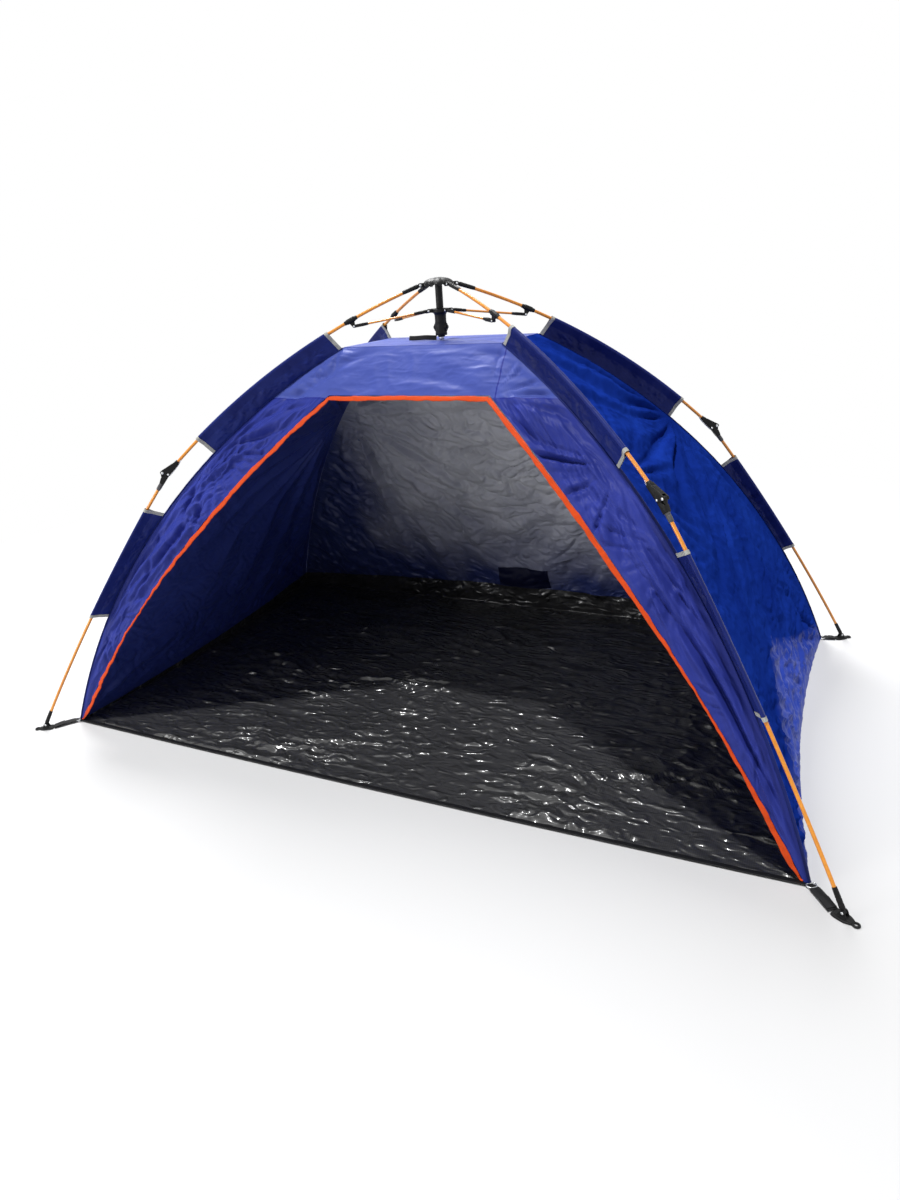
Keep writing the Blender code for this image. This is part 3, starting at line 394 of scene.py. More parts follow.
def stripes(tree, where, period_mm, axis, **wander):
    """A wave across one axis, 0 to 1. The wave texture repeats every 0.314 m at scale 1."""
    sockets = {"Vector": where, "Scale": 314.0 / period_mm, **wander}
    return add(tree, "ShaderNodeTexWave", sockets, bands_direction=axis).outputs["Fac"]


def weave(tree, where, period_mm):
    """The height of a plain weave, 0 to 1: the product of two waves, one across and one along the cloth."""
    return maths(tree, "MULTIPLY", *(stripes(tree, where, period_mm, axis) for axis in "XY"))


def bump(tree, shader, layers):
    """Stacks heights onto the shader's normal: each layer is (height socket, height in mm)."""
    below = {}
    for height, depth_mm in layers:
        inputs = {"Height": height, "Distance": depth_mm / 1000, "Strength": 1.0, **below}
        below = {"Normal": add(tree, "ShaderNodeBump", inputs).outputs["Normal"]}
    drive(tree, shader, **below)

# %% [markdown]
# ### Blue canopy cloth
#
# The canopy is polyester taffeta, a tight plain weave with a thin water-proof coat on its inside: silvery
# grey in the back wall. Towards that wall's seams and hem the grey runs into navy, which is painted light and
# shade: the blue glow of light through the cloth, darker low down. The lintel, the roof and the flared hem
# of the side walls are drawn in lighter blues, which are painted light. The cloth has a soft gloss, so
# every crease shows as a light line. The small creases from packing are ridged noise, stretched along the
# cloth. Its thread is 0.25 mm, far too fine to show, so it is drawn at 1.4 mm.

# %% Canopy cloth
def ridges(tree, where, scale, stretch=(1.0, 1.0, 1.0), detail=4.0):
    """Ridged noise: sharp crests where the noise crosses its middle, like creases. Scale is crests per
    metre."""
    along = add(tree, "ShaderNodeMapping", {"Vector": where, "Scale": stretch}).outputs[0]
    sockets = {"Vector": along, "Scale": scale, "Detail": detail, "Roughness": 0.5, "Distortion": 0.35}
    return add(tree, "ShaderNodeTexNoise", sockets, noise_type="RIDGED_MULTIFRACTAL").outputs["Fac"]


def painted_edge_glow(tree, flat, low, high, side):
    """Mask for a painted blue glow and shade: 0 in the middle of the panel and 1 near its hem, from low to
    high metres down, or near its side, from side metres out along +U, with an uneven border."""
    parts, wander = split(tree, flat), noise(tree, flat, 5.0, 4.0)
    down, out = (maths(tree, "MULTIPLY_ADD", wander, 0.35, parts[axis]) for axis in "YX")
    return maths(tree, "MAXIMUM", remap(tree, down, low, high), remap(tree, out, side, side + 0.5))


def sewn_lines(tree, flat, level, side):
    """1 on two sewn lines 4 mm wide: one across the panel at level metres down, and one up from it at side
    metres. Also gives 1 above the first line."""
    parts = split(tree, flat)

    def line(value, at):
        off = maths(tree, "ABSOLUTE", maths(tree, "SUBTRACT", value, at))
        return remap(tree, off, 0.0012, 0.0026, 1.0, 0.0)

    above = maths(tree, "LESS_THAN", parts["Y"], level)
    up = maths(tree, "MULTIPLY", line(parts["X"], side), above)
    return maths(tree, "MAXIMUM", line(parts["Y"], level), up), above


def down_the_strips(tree, flat, above, slant):
    """Places turned so that X runs down the strips beside the doorway, alike on both sides. Above the sewn
    line they stay level."""
    parts = split(tree, flat)
    both = add(tree, "ShaderNodeCombineXYZ", {"X": maths(tree, "ABSOLUTE", parts["X"]), "Y": parts["Y"]})
    tilt = {"Vector": both.outputs[0], "Angle": -math.radians(slant)}
    leaning = add(tree, "ShaderNodeVectorRotate", tilt, rotation_type="Z_AXIS").outputs[0]
    return add(tree, "ShaderNodeMix", {0: above, 4: leaning, 5: flat}, data_type="VECTOR").outputs[1]


def cloth_finish(name, light, dark, roughness, crease_mm, gloss, stretch=(1.0, 1.0, 1.0), painted_glow_at_edges=None,
                 sewn=None, hem_gloss_and_painted_light=None):
    """Coated polyester taffeta: two colours in soft clouds, ridged creases and a weave in the bump. The
    colour
    for the edges is painted light and shade: a blue glow through the cloth, darker towards the hem and the
    seams. Sewn is where the sewn lines lie and the lighter colour above them, which is painted light. A hem
    gloss and painted light is how far down it starts, how far down it is full, how strong the gloss is there,
    and the colour there, a lighter blue that is painted light. It starts lower towards the seams."""
    material, tree, shader = new_finish(name, roughness, Specular_IOR_Level=gloss, IOR=1.5)
    flat = lay = cloth_map(tree)
    base = blended(tree, remap(tree, noise(tree, flat, 3.5, 6.0, 0.6), 0.3, 0.7), dark, light)
    if painted_glow_at_edges:
        # Towards the hem and seams the base colour runs into navy: a painted blue glow of light through the
        # cloth, and painted shade low on the wall.
        base = blended(tree, painted_edge_glow(tree, flat, 0.85, 1.35, 0.42), base, painted_glow_at_edges)
    if sewn:
        level, side, painted_light_above = sewn
        line, above = sewn_lines(tree, flat, level, side)
        lay = down_the_strips(tree, flat, above, 52)
        # Above the sewn line the base colour is a lighter violet: painted light, where the lintel faces the
        # lamps.
        base = blended(tree, line, blended(tree, above, base, painted_light_above), "#262E86")
    if hem_gloss_and_painted_light:
        start, full, strength, painted_light_at_hem = hem_gloss_and_painted_light
        parts = split(tree, flat)
        out = maths(tree, "ABSOLUTE", parts["X"])
        share = remap(tree, maths(tree, "MULTIPLY_ADD", out, -0.55, parts["Y"]), start, full)
        drive(tree, shader, Specular_IOR_Level=remap(tree, share, 0.0, 1.0, gloss, strength))
        # Painted light: the base colour turns to a lighter blue where the hem flares up towards the lamps.
        base = blended(tree, share, base, painted_light_at_hem)
    creases, small = ridges(tree, lay, 9.0, stretch), ridges(tree, lay, 30.0, stretch, 3.0)
    rough = remap(tree, small, 0.0, 2.0, roughness + 0.05, roughness - 0.08)
    drive(tree, shader, Base_Color=base, Roughness=rough)
    bump(tree, shader, [(creases, crease_mm), (small, crease_mm * 0.45), (weave(tree, flat, 1.4), 0.05)])
    return material


# Above the lintel's sewn line the cloth is drawn in a lighter violet, #4755A2, which is painted light: the
# same cloth, lit more.
lintel_seam, side_seam = 0.1695, 0.262       # metres down from the roof, and right of the middle
violet_taffeta = cloth_finish("coated_polyester_taffeta_violet", "#343F96", "#242E78", 0.40, 9.0, 0.10,
                              (0.4, 1.5, 1.0), sewn=(lintel_seam, side_seam, "#4755A2"))
# The lighter blue #2440A8 at the walls' hem is painted light, drawn where the flared hem turns up to the
# lamps.
blue_taffeta = cloth_finish("coated_polyester_taffeta_blue", "#173695", "#0D2476", 0.40, 7.0, 0.0,
                            (0.6, 1.1, 1.0), hem_gloss_and_painted_light=(1.12, 1.21, 0.26, "#2440A8"))
navy_taffeta = cloth_finish("coated_polyester_taffeta_navy", "#222F76", "#161E5A", 0.34, 5.0, 0.10)
# The navy #2A3568 towards the back wall's seams and hem is painted light and shade: the blue glow through the
# cloth, darker low down.
grey_coat = cloth_finish("polyurethane_coat_silver_grey", "#DEDFE5", "#B4B6BF", 0.38, 18.0, 0.35,
                         (0.8, 1.6, 1.0), "#2A3568")
navy_coat = cloth_finish("polyurethane_coat_navy", "#35438F", "#28357E", 0.46, 1.6, 0.2)
pocket_coat = cloth_finish("polyurethane_coat_dark_navy", "#0B1030", "#080B24", 0.5, 1.2, 0.12)
print("cloths:", [m.name for m in bpy.data.materials if "taffeta" in m.name or "coat" in m.name])

# %% [markdown]
# ### Groundsheet
#
# The groundsheet is woven from flat black polyethylene tapes about 2.5 mm wide, with a thin glossy film on
# both sides. It creases sharply and each crease throws a bright line back.

# %% Groundsheet
def sheeting_finish():
    """Creases are ridged noise drawn out from left to right, over the tapes' own weave."""
    material, tree, shader = new_finish("laminated_woven_polyethylene", 0.3, IOR=1.36, Coat_Weight=0.7,
                                        Coat_Roughness=0.12)
    flat = cloth_map(tree)
    folds = ridges(tree, flat, 7.0, (1.0, 2.6, 1.0), 5.0)
    small = ridges(tree, flat, 24.0, (1.0, 1.8, 1.0), 4.0)
    tapes = weave(tree, flat, 5.0)
    bump(tree, shader, [(folds, 24.0), (small, 12.0), (tapes, 0.10)])
    drive(tree, shader, Base_Color=blended(tree, tapes, "#272728", "#3D3D3E"),
          Roughness=remap(tree, small, 0.0, 2.0, 0.38, 0.24),
          Coat_Normal=shader.inputs["Normal"].links[0].from_socket)
    return material


black_sheeting = sheeting_finish()

# %% [markdown]
# ### Bindings, tapes and webbing
#
# The doorway is bound with bright orange grosgrain, a ribbed ribbon. The sleeves end in a grey woven tape,
# and the corners are held by black polypropylene webbing. All three show ribs across their length, 1 to 2
# mm apart.

# %% Tapes
def tape_finish(name, light, dark, roughness, rib_mm, depth_mm):
    """Ribs across the tape, a woven speckle, and a soft colour change along it. The cloth map runs along
    X."""
    material, tree, shader = new_finish(name, roughness, Specular_IOR_Level=0.25)
    flat = cloth_map(tree)
    ribs = stripes(tree, flat, rib_mm, "X", Distortion=0.6, Detail=1.0)
    threads, clouds = noise(tree, flat, 900.0, 2.0), noise(tree, flat, 22.0, 4.0)
    drive(tree, shader, Base_Color=blended(tree, maths(tree, "MULTIPLY", ribs, clouds), dark, light))
    bump(tree, shader, [(ribs, depth_mm), (threads, depth_mm * 0.5)])
    return material


orange_grosgrain = tape_finish("polyester_grosgrain_orange", "#F45A10", "#C83F06", 0.6, 1.6, 0.22)
grey_tape = tape_finish("woven_cotton_tape_grey", "#D2D2CC", "#A4A49E", 0.8, 1.6, 0.25)
black_webbing = tape_finish("polypropylene_webbing_black", "#202022", "#0E0E0F", 0.6, 2.2, 0.35)
black_tape = tape_finish("polyester_binding_black", "#1A1A1C", "#0C0C0E", 0.45, 1.4, 0.15)

# %% [markdown]
# ### Poles, mouldings and metal
#
# The poles are pultruded glass fibre under a clear resin: orange, glossy, with faint streaks along them.
# The joints are moulded nylon, nearly black, with a fine spark-eroded grain. Rivets, springs and the mast's
# tip are zinc-plated steel, with light scratches.

# %% Hard finishes
def pole_finish():
    material, tree, shader = new_finish("pultruded_glass_fibre_orange", 0.28, Coat_Weight=0.4,
                                        Coat_Roughness=0.12)
    where = object_map(tree)
    streaks = noise(tree, where, 140.0, 5.0, 0.7)
    tone = remap(tree, maths(tree, "MULTIPLY", streaks, noise(tree, where, 11.0, 3.0)), 0.12, 0.4)
    drive(tree, shader, Base_Color=blended(tree, tone, "#D8810F", "#F29C24"))
    bump(tree, shader, [(streaks, 0.05)])
    return material


def moulded_finish(name, light, dark, roughness, grain_mm, depth_mm):
    material, tree, shader = new_finish(name, roughness, IOR=1.53, Specular_IOR_Level=0.2)
    where = object_map(tree)
    grain, scuffs = noise(tree, where, 1000.0 / grain_mm, 3.0), noise(tree, where, 90.0, 6.0, 0.7)
    drive(tree, shader, Base_Color=blended(tree, scuffs, dark, light),
          Roughness=remap(tree, scuffs, 0.3, 0.7, roughness - 0.1, roughness + 0.08))
    bump(tree, shader, [(grain, depth_mm)])
    return material


def plated_finish():
    material, tree, shader = new_finish("zinc_plated_steel", 0.3, metallic=1.0)
    scratches = noise(tree, object_map(tree), 260.0, 6.0, 0.75)
    drive(tree, shader, Base_Color=blended(tree, scratches, "#B4B6B8", "#DADCDD"),
          Roughness=remap(tree, scratches, 0.3, 0.7, 0.2, 0.42))
    bump(tree, shader, [(scratches, 0.03)])
    return material


orange_fibre = pole_finish()
gloss_nylon = moulded_finish("moulded_nylon_gloss_black", "#0B0B0C", "#060607", 0.5, 1.2, 0.02)
grained_nylon = moulded_finish("moulded_nylon_grained_black", "#101011", "#080809", 0.48, 0.8, 0.06)
grey_nylon = moulded_finish("moulded_nylon_grey", "#5B5A5C", "#454447", 0.42, 0.9, 0.04)
zinc_steel = plated_finish()
print("finishes:", len(bpy.data.materials))

# %% [markdown]
# ## The lines of the tent
#
# Each leg lies in one upright plane through the mast: S is the distance from the mast and Z the height. A
# pole is a bow whose heading falls steadily along it. Under each pole runs a corner seam of the canopy, a
# circular bow that stays 56 mm inside the elbow.

# %% Bows of the poles
def bow_places(start, end, turn, distance):
    """Points (S, Z) and headings: the heading falls by turn from start to end, and the place is the running
    sum of (cos, sin) of it, which is start + length / turn * (sin first - sin now, cos now - cos first)."""
    chord = end - start
    first = math.atan2(chord[1], chord[0]) + turn / 2
    length = math.hypot(*chord) * (turn / 2) / math.sin(turn / 2)
    now = first - turn * np.asarray(distance, float) / length
    step = np.stack([np.sin(first) - np.sin(now), np.cos(now) - np.cos(first)], -1)
    return start + length / turn * step, now, length


def upper_at(distance):
    return bow_places(hub_pivot, elbow, upper_turn, distance)[:2]


def lower_at(distance):
    return bow_places(elbow, foot_pivot, lower_turn, distance)[:2]


upper_length = bow_places(hub_pivot, elbow, upper_turn, 0)[2]
lower_length = bow_places(elbow, foot_pivot, lower_turn, 0)[2]


def rotated(x, y, angle):
    return x * math.cos(angle) - y * math.sin(angle), x * math.sin(angle) + y * math.cos(angle)


def leg_turn(key):
    side, end = LEGS[key]
    return math.atan2(end * math.sin(leg_azimuth), side * math.cos(leg_azimuth))


def stand(key, points):
    """Turns (S, Y, Z) of the leg's plane to the leg's own azimuth."""
    s, y, z = np.moveaxis(np.asarray(points, float), -1, 0)
    return np.stack([*rotated(s, y, leg_turn(key)), z], -1)


print("upper pole", round(upper_length, 4), "lower pole", round(lower_length, 4))

# %% Corner seams of the canopy
def floor_corner(side, end):
    return np.array([side * floor_half_width, floor_back if end > 0 else floor_front, 0.0])


def seam(side, end, shares):
    """Points of a corner seam: along the chord from the roof's corner to the floor's, raised by a circle's
    arc in the chord's upright plane. The arc's rise is how far the elbow stands over the chord, less the
    seam's drop."""
    top = np.array([side * roof_half[0], end * roof_half[1], wall_top])
    chord = floor_corner(side, end) - top
    length = np.linalg.norm(chord)
    over = elbow - [roof_corner, wall_top]
    rise = over @ np.array([-chord[2], math.hypot(chord[0], chord[1])]) / length - seam_drop
    ahead = chord / length
    up = np.array([0, 0, 1.0]) - ahead * ahead[2]
    up /= np.linalg.norm(up)
    radius = length ** 2 / (8 * rise) + rise / 2
    along = np.asarray(shares, float) * length
    lift = np.sqrt(radius ** 2 - (along - length / 2) ** 2) - (radius - rise)
    return top + along[..., None] * ahead + lift[..., None] * up


def seam_at_height(side, end, heights):
    fine = seam(side, end, np.linspace(0, 1, 1500))
    order = np.argsort(fine[:, 2])
    heights = np.asarray(heights, float)
    x, y = (np.interp(heights, fine[order, 2], fine[order, k]) for k in (0, 1))
    return np.stack([x, y, heights], -1)


def heights_down(shares):
    """Heights of a wall's rows, from its top edge to just above the ground."""
    return wall_top - (wall_top - seam(1, 1, shares)[..., 2]) * (wall_top - ground_gap) / wall_top


seam_length = np.linalg.norm(np.diff(seam(1, -1, np.linspace(0, 1, 200)), axis=0), axis=1).sum()
print("corner seam", round(float(seam_length), 3), "m")

# %% [markdown]
# ## How the cloth creases
#
# Cloth that is held at a few points pulls into folds that fan out from them. Cloth that was packed keeps a
# net of small sharp creases. Both are heights over the panel, worked out for the whole grid at once. They
# fade to nothing at the seams, where two panels are sewn together.

# %% Creases and folds
def hills(x, y, seed=0):
    """Random smooth hills, about -0.7 to 0.7: a random slope at each whole-number corner of the plane, and
    between corners the heights of the four slopes blended by 6t^5 - 15t^4 + 10t^3."""
    rng = np.random.default_rng(seed)
    order, angle = rng.permutation(256), rng.uniform(0, 2 * np.pi, 256)
    x, y = np.broadcast_arrays(np.asarray(x, float), np.asarray(y, float))
    column, row = np.floor(x).astype(int), np.floor(y).astype(int)
    dx, dy = x - column, y - row

    def slope(i, j):
        turn = angle[order[(order[(column + i) % 256] + row + j) % 256]]
        return np.cos(turn) * (dx - i) + np.sin(turn) * (dy - j)

    u, v = (t * t * t * (t * (t * 6 - 15) + 10) for t in (dx, dy))
    near = slope(0, 0) * (1 - u) + slope(1, 0) * u
    far = slope(0, 1) * (1 - u) + slope(1, 1) * u
    return 1.4 * (near * (1 - v) + far * v)


def crumple(a, b, size, seed, layers=3, sharp=0.24):
    """A net of creases, 0 to about 1.5: exp(-(hills / sharp)^2) has a crest wherever hills crosses zero.
    Each further layer is half as large and half as high, and every layer is bent by a slower one."""
    total = np.zeros(np.broadcast(a, b).shape)
    for k in range(layers):
        s = size / 2 ** k
        bend = 0.7 * hills(a / (2 * s) + 7.3, b / (2 * s) - 3.1, seed + 31 * k)
        total += np.exp(-(hills(a / s + bend, b / s - bend, seed + k) / sharp) ** 2) / 2 ** k
    return total


def pleat(wave):
    """A fold's profile, -1 to 1: its crests are sharper than its valleys."""
    return (np.sin(wave) + 0.35 * np.sin(2 * wave + 1.9)) / 1.2


def fan(a, b, centre, inward, folds, reach, seed):
    """Pleats that spread from a held point: the angle round it, times folds per radian, goes into the
    pleat. They grow over the first 18 cm and fade over reach, and some of them are left out."""
    da, db = inward * (a - centre[0]), b - centre[1]
    distance, angle = np.hypot(da, db), np.arctan2(db, da)
    wave = angle * folds + 2.6 * hills(angle * 2.3 + seed, distance / 0.35, seed)
    grow = rise_over(distance - 0.03, 0.15)
    strength = np.clip(0.55 + 1.1 * hills(angle * 4.1 - seed, distance / 0.45 + 5, seed + 3), 0, 1.3)
    return pleat(wave) * grow * strength * np.exp(-(distance / reach) ** 2)


def rise_over(distance, width):
    """0 at an edge, 1 from width inwards, and level at both."""
    t = np.clip(distance / width, 0, 1)
    return t * t * (3 - 2 * t)


def steps_along(points, axis):
    """Running length along one direction of a grid of points."""
    steps = np.linalg.norm(np.diff(points, axis=axis), axis=-1)
    zero = np.zeros_like(np.take(steps, [0], axis))
    return np.concatenate([zero, np.cumsum(steps, axis)], axis)


def grid_normals(points):
    """The unit cross product of the steps along a row and down a column."""
    normal = np.cross(np.gradient(points, axis=1), np.gradient(points, axis=0))
    return normal / np.maximum(np.linalg.norm(normal, axis=-1, keepdims=True), 1e-12)


def outward_grid(points, flat, centre=(0, 0, 0.3)):
    """The grid with its columns turned round where its normals would point at the middle of the tent."""
    middle = tuple(n // 2 for n in points.shape[:2])
    out = grid_normals(points)[middle] @ (points[middle] - np.array(centre))
    return (points[:, ::-1], flat[:, ::-1]) if out < 0 else (points, flat)


span = hills(np.linspace(0, 40, 4001), 0.37)
print("hills span", span.min().round(2), span.max().round(2))

# %% [markdown]
# ## Gores: how the canopy is cut
#
# The real canopy crumples when the frame folds like an umbrella. A single stiff surface couldn't follow, so
# each panel is worked out whole and then cut into gores that run from the roof to the hem. At rest their
# edges and their normals match exactly, so the panel shows as one sheet.

# %% From a grid to a thin closed sheet
def thin_sheet(outer, normals, flat, thickness, tip=False):
    """Two copies of a grid, the second one thickness inside, joined by a rim round the border. With a tip,
    the first row is one point. Returns points, normals, flat places, four- and three-sided faces, and which
    faces are inner."""
    rows, columns = outer.shape[:2]
    start = 1 if tip else 0

    def layer(grid):
        body = grid[start:].reshape(-1, grid.shape[-1])
        return np.vstack([grid[0, :1], body]) if tip else body

    number = start + np.arange((rows - start) * columns).reshape(-1, columns)
    quads = np.stack([number[:-1, :-1], number[:-1, 1:], number[1:, 1:], number[1:, :-1]], -1).reshape(-1, 4)
    border = [number[:-1, -1], number[-1, :0:-1], number[:0:-1, 0]]
    border = [np.array([0])] + border + [number[:1, 0]] if tip else [number[0, :-1]] + border
    border = np.concatenate(border)
    ahead = np.roll(border, -1)
    count = len(layer(outer))
    rim = np.stack([ahead, border, border + count, ahead + count], -1)
    points = np.vstack([layer(outer), layer(outer - normals * thickness)])
    facing = np.vstack([layer(normals), -layer(normals)])
    places = np.vstack([layer(flat), layer(flat)])
    faces = [np.vstack([quads, rim, quads[:, [0, 3, 2, 1]] + count])]       # split along the same diagonals
    inner = [0] * (len(quads) + len(rim)) + [1] * len(quads)
    if tip:
        triangles = np.stack([np.zeros(columns - 1, int), number[0, 1:], number[0, :-1]], -1)
        faces.append(np.vstack([triangles, triangles[:, ::-1] + count]))
        inner += [0] * len(triangles) + [1] * len(triangles)
    return points, facing, places, faces, np.array(inner, np.int32)


def cloth_piece(name, outer, flat, finishes, slot, replaced, fold_azimuth=None, body="root", held="stretched",
                rests=(), normals=None, tip=False, thickness=cloth):
    """A thin sheet as a piece: first finish outside, second inside."""
    if normals is None:
        normals = grid_normals(outer)
    points, facing, places, faces, inner = thin_sheet(outer, normals, flat, thickness, tip)
    mesh, corners = fill_mesh(name, points, faces)
    map_cloth(mesh, corners, places)
    mesh.polygons.foreach_set("material_index", inner)
    mesh.normals_split_custom_set_from_vertices(facing.tolist())
    thing = place_piece(name, mesh, finishes, body, slot, replaced)
    width, length = steps_along(outer, 1)[:, -1].max(), steps_along(outer, 0)[-1].max()
    cells = np.cross(np.diff(outer, axis=1)[:-1], np.diff(outer, axis=0)[:, :-1])
    if fold_azimuth is not None:
        fold_in(thing, fold_azimuth)
    return thing


def fold_in(thing, azimuth):
    """Gives the piece its own copy of its mesh.
    The azimuth is not used."""
    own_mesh(thing)


def spans(first, last, count):
    """Neighbouring spans from first to last, each with its first and last column."""
    cuts = np.linspace(first, last, count + 1).round().astype(int)
    return list(zip(cuts[:-1], cuts[1:]))


def part_azimuth(points):
    middle = np.asarray(points).reshape(-1, 3).mean(0)
    return math.atan2(middle[1], middle[0])


def cut_gores(name, outer, flat, count, finishes, slot, replaced, **more):
    """Cuts a panel into gores of equal numbers of columns, each given its own azimuth."""
    normals = grid_normals(outer)
    for number, (low, high) in enumerate(spans(0, outer.shape[1] - 1, count), 1):
        part = np.s_[:, low:high + 1]
        azimuth = part_azimuth(outer[part][outer.shape[0] // 2:])
        cloth_piece(f"{name}_gore_{number}", outer[part], flat[part], finishes, slot, replaced, azimuth,
                    normals=normals[part], **more)

# %% [markdown]
# ## Side and back walls
#
# A side wall spans two corner seams and is pulled in at the hem. The fin of each sleeve holds the seam, so
# folds fan out from where the fins end, and from the four corners. Near the ground the cloth is slack and
# crumpled.

# %% Wall surfaces
WALL_ROWS = 250
# Where the fins end on the corner seams, from roof to floor, and the folds there: their height, how many
# per radian, and their reach.
held_shares = (0.0, 0.32, 0.484, 0.746, 1.0)
front_fans = ((0.0, 24, 0.3), (0.0055, 24, 0.44), (0.0036, 26, 0.26), (0.0040, 26, 0.30), (0.0080, 22, 0.40))
back_fans = ((0.0030, 24, 0.3), (0.0175, 20, 0.80), (0.0040, 26, 0.26), (0.0040, 26, 0.30),
             (0.0120, 22, 0.50))


def wall_grid(first, second, columns, bow, bow_axis):
    """Each row runs straight from one seam to the other at its height; the wall's bow grows with the square
    of the share down the wall, eases off by a third at the hem, and follows 4u(1 - u) across it."""
    down, over = np.linspace(0, 1, WALL_ROWS), np.linspace(0, 1, columns)
    heights = heights_down(down)
    a, b = seam_at_height(*first, heights), seam_at_height(*second, heights)
    if bow_axis == 1:
        a[:, 0] -= np.sign(a[:, 0]) * seam_inset
        b[:, 0] -= np.sign(b[:, 0]) * seam_inset
    points = a[:, None] + over[None, :, None] * (b - a)[:, None]
    pull = bow * (down ** 2 * (1 - 0.35 * rise_over(down - 0.80, 0.20)))[:, None] * 4 * over * (1 - over)
    points[..., bow_axis] -= np.sign((a + b)[-1, bow_axis]) * pull
    return points


def flat_places(points):
    """The panel laid flat: across from its middle line, and down from its top edge, both in metres."""
    across = steps_along(points, 1)
    return np.stack([across - across[:, -1:] / 2, steps_along(points, 0)], -1)


def drape(points, seed, slack, size):
    """The wall with its folds: fans at the held points of both seams, slow swells, and crumples as high as
    the slack of their row."""
    points, flat = outward_grid(points, flat_places(points))
    a, b = flat[..., 0], flat[..., 1]
    height = 0.0045 * (hills(a / 0.30, b / 0.22, seed) + 0.6 * hills(a / 0.13, b / 0.10, seed + 1))
    for edge in (0, -1):
        fans = back_fans if points[0, edge, 1] > 0 else front_fans
        for share, (strength, folds, reach) in zip(held_shares, fans):
            row = int(round(share * (WALL_ROWS - 1)))
            held = flat[row, edge]
            height += strength * fan(a, b, held, -np.sign(held[0]), folds, reach, seed + row + edge)
    height += slack[:, None] * (crumple(a, 1.4 * b, size, seed + 5, 2) - 0.45)
    across = np.abs(a[:, :1]) - np.abs(a)
    height *= rise_over(across, 0.05) * rise_over(b, 0.04) * (0.12 + 0.88 * rise_over(b[-1:] - b, 0.09))
    points = points + grid_normals(points) * height[..., None]
    points[..., 2] = np.maximum(points[..., 2], ground_gap * 0.8)
    return points, flat, height


walls = {}
down = np.linspace(0, 1, WALL_ROWS)
for name, side, seed, looseness in (("right_wall", 1, 11, 1.0), ("left_wall", -1, 47, 0.45)):
    grid = wall_grid((side, -1), (side, 1), 225, 0.064, 0)
    walls[name] = drape(grid, seed, (0.0024 + 0.0120 * down ** 5) * looseness, 0.075)
grid = wall_grid((1, 1), (-1, 1), 321, 0.012, 1)
walls["back_wall"] = drape(grid, 83, 0.0034 + 0.0085 * np.exp(-((down - 0.55) / 0.27) ** 2), 0.10)
for name, (_, _, height) in walls.items():
    print(name, height.shape, "folds from", height.min().round(4), "to", height.max().round(4))

# %% Wall gores
for name, count, coat, corners in (
        ("right_wall", 4, navy_coat, ("fr", "br")),
        ("left_wall", 4, navy_coat, ("fl", "bl")),
        ("back_wall", 8, grey_coat, ("br", "bl"))):
    cut_gores(name, *walls[name][:2], count, [blue_taffeta, coat], "blue_polyester", (name,),
              rests=[f"upper_sleeve_{key}" for key in corners], thickness=wall_cloth)
    print(name, "gores:", count)

# %% [markdown]
# ## Front panel
#
# The front panel is a frame of cloth round the doorway: two long strips beside it and a lintel over it. Its
# depth depends only on its height, so it lies flat on a cylinder, and laying it out is exact. The strips
# are pulled hard between the doorway's edge and the fins, which gives the longest folds of the whole tent.

# %% Doorway and front panel
SIDE_COLUMNS, OVER_COLUMNS, STRIP_ROWS = 250, 78, 70
door_rise = 0.056           # how far the doorway's side stands out from a straight line
cloth_edge = 0.0073         # from the doorway's line out to the cloth's edge, which the binding covers


def door_side(offset, count):
    """The doorway's right edge from top to foot, in front view (X, Z), moved outwards by offset."""
    foot, top = np.array([floor_half_width - 0.020, ground_gap]), np.array([door_top_half, door_top])
    turn = 4 * math.atan2(2 * door_rise, float(np.linalg.norm(foot - top)))
    length = bow_places(top, foot, turn, 0)[2]
    edge, heading, _ = bow_places(top, foot, turn, np.linspace(0, length, count))
    edge = edge + offset * np.stack([-np.sin(heading), np.cos(heading)], -1)
    edge[0] = top + offset * np.array([math.tan(-heading[0] / 2), 1.0])
    slope = math.atan2(edge[-1, 1] - edge[-2, 1], edge[-1, 0] - edge[-2, 0])
    edge[-1] = foot + offset * np.array([1 / math.cos(slope + math.pi / 2), 0])
    return edge


def round_the_door(side, over_count):
    """An edge in front view from the left foot over the top to the right foot."""
    left = side[::-1] * [-1, 1]
    return np.vstack([left, np.linspace(left[-1], side[0], over_count + 1)[1:-1], side])


front_profile = seam_at_height(1, -1, np.linspace(0, wall_top, 900))
front_down = steps_along(front_profile[::-1, 1:], 0)[::-1]


def on_front(edge):
    """Front-view points at their depth on the front panel."""
    y = np.interp(edge[..., 1], front_profile[:, 2], front_profile[:, 1])
    return np.stack([edge[..., 0], y, edge[..., 1]], -1)


def door_line(offset):
    return on_front(round_the_door(door_side(offset, SIDE_COLUMNS + 1), OVER_COLUMNS))


outer_side = seam_at_height(1, -1, heights_down(np.linspace(0, 1, SIDE_COLUMNS + 1)))[:, [0, 2]]
outer_side = outer_side - [seam_inset, 0]
inner = round_the_door(door_side(cloth_edge, SIDE_COLUMNS + 1), OVER_COLUMNS)
outer = round_the_door(outer_side, OVER_COLUMNS)
share = np.linspace(0, 1, STRIP_ROWS)[:, None, None]
front = on_front(inner + share * (outer - inner))
front_flat = np.stack([front[..., 0], np.interp(front[..., 2], front_profile[:, 2], front_down)], -1)

# %% Folds of the front panel
def depth_down(height):
    """How far down the laid-out front panel a height is."""
    return np.interp(height, front_profile[:, 2], front_down)


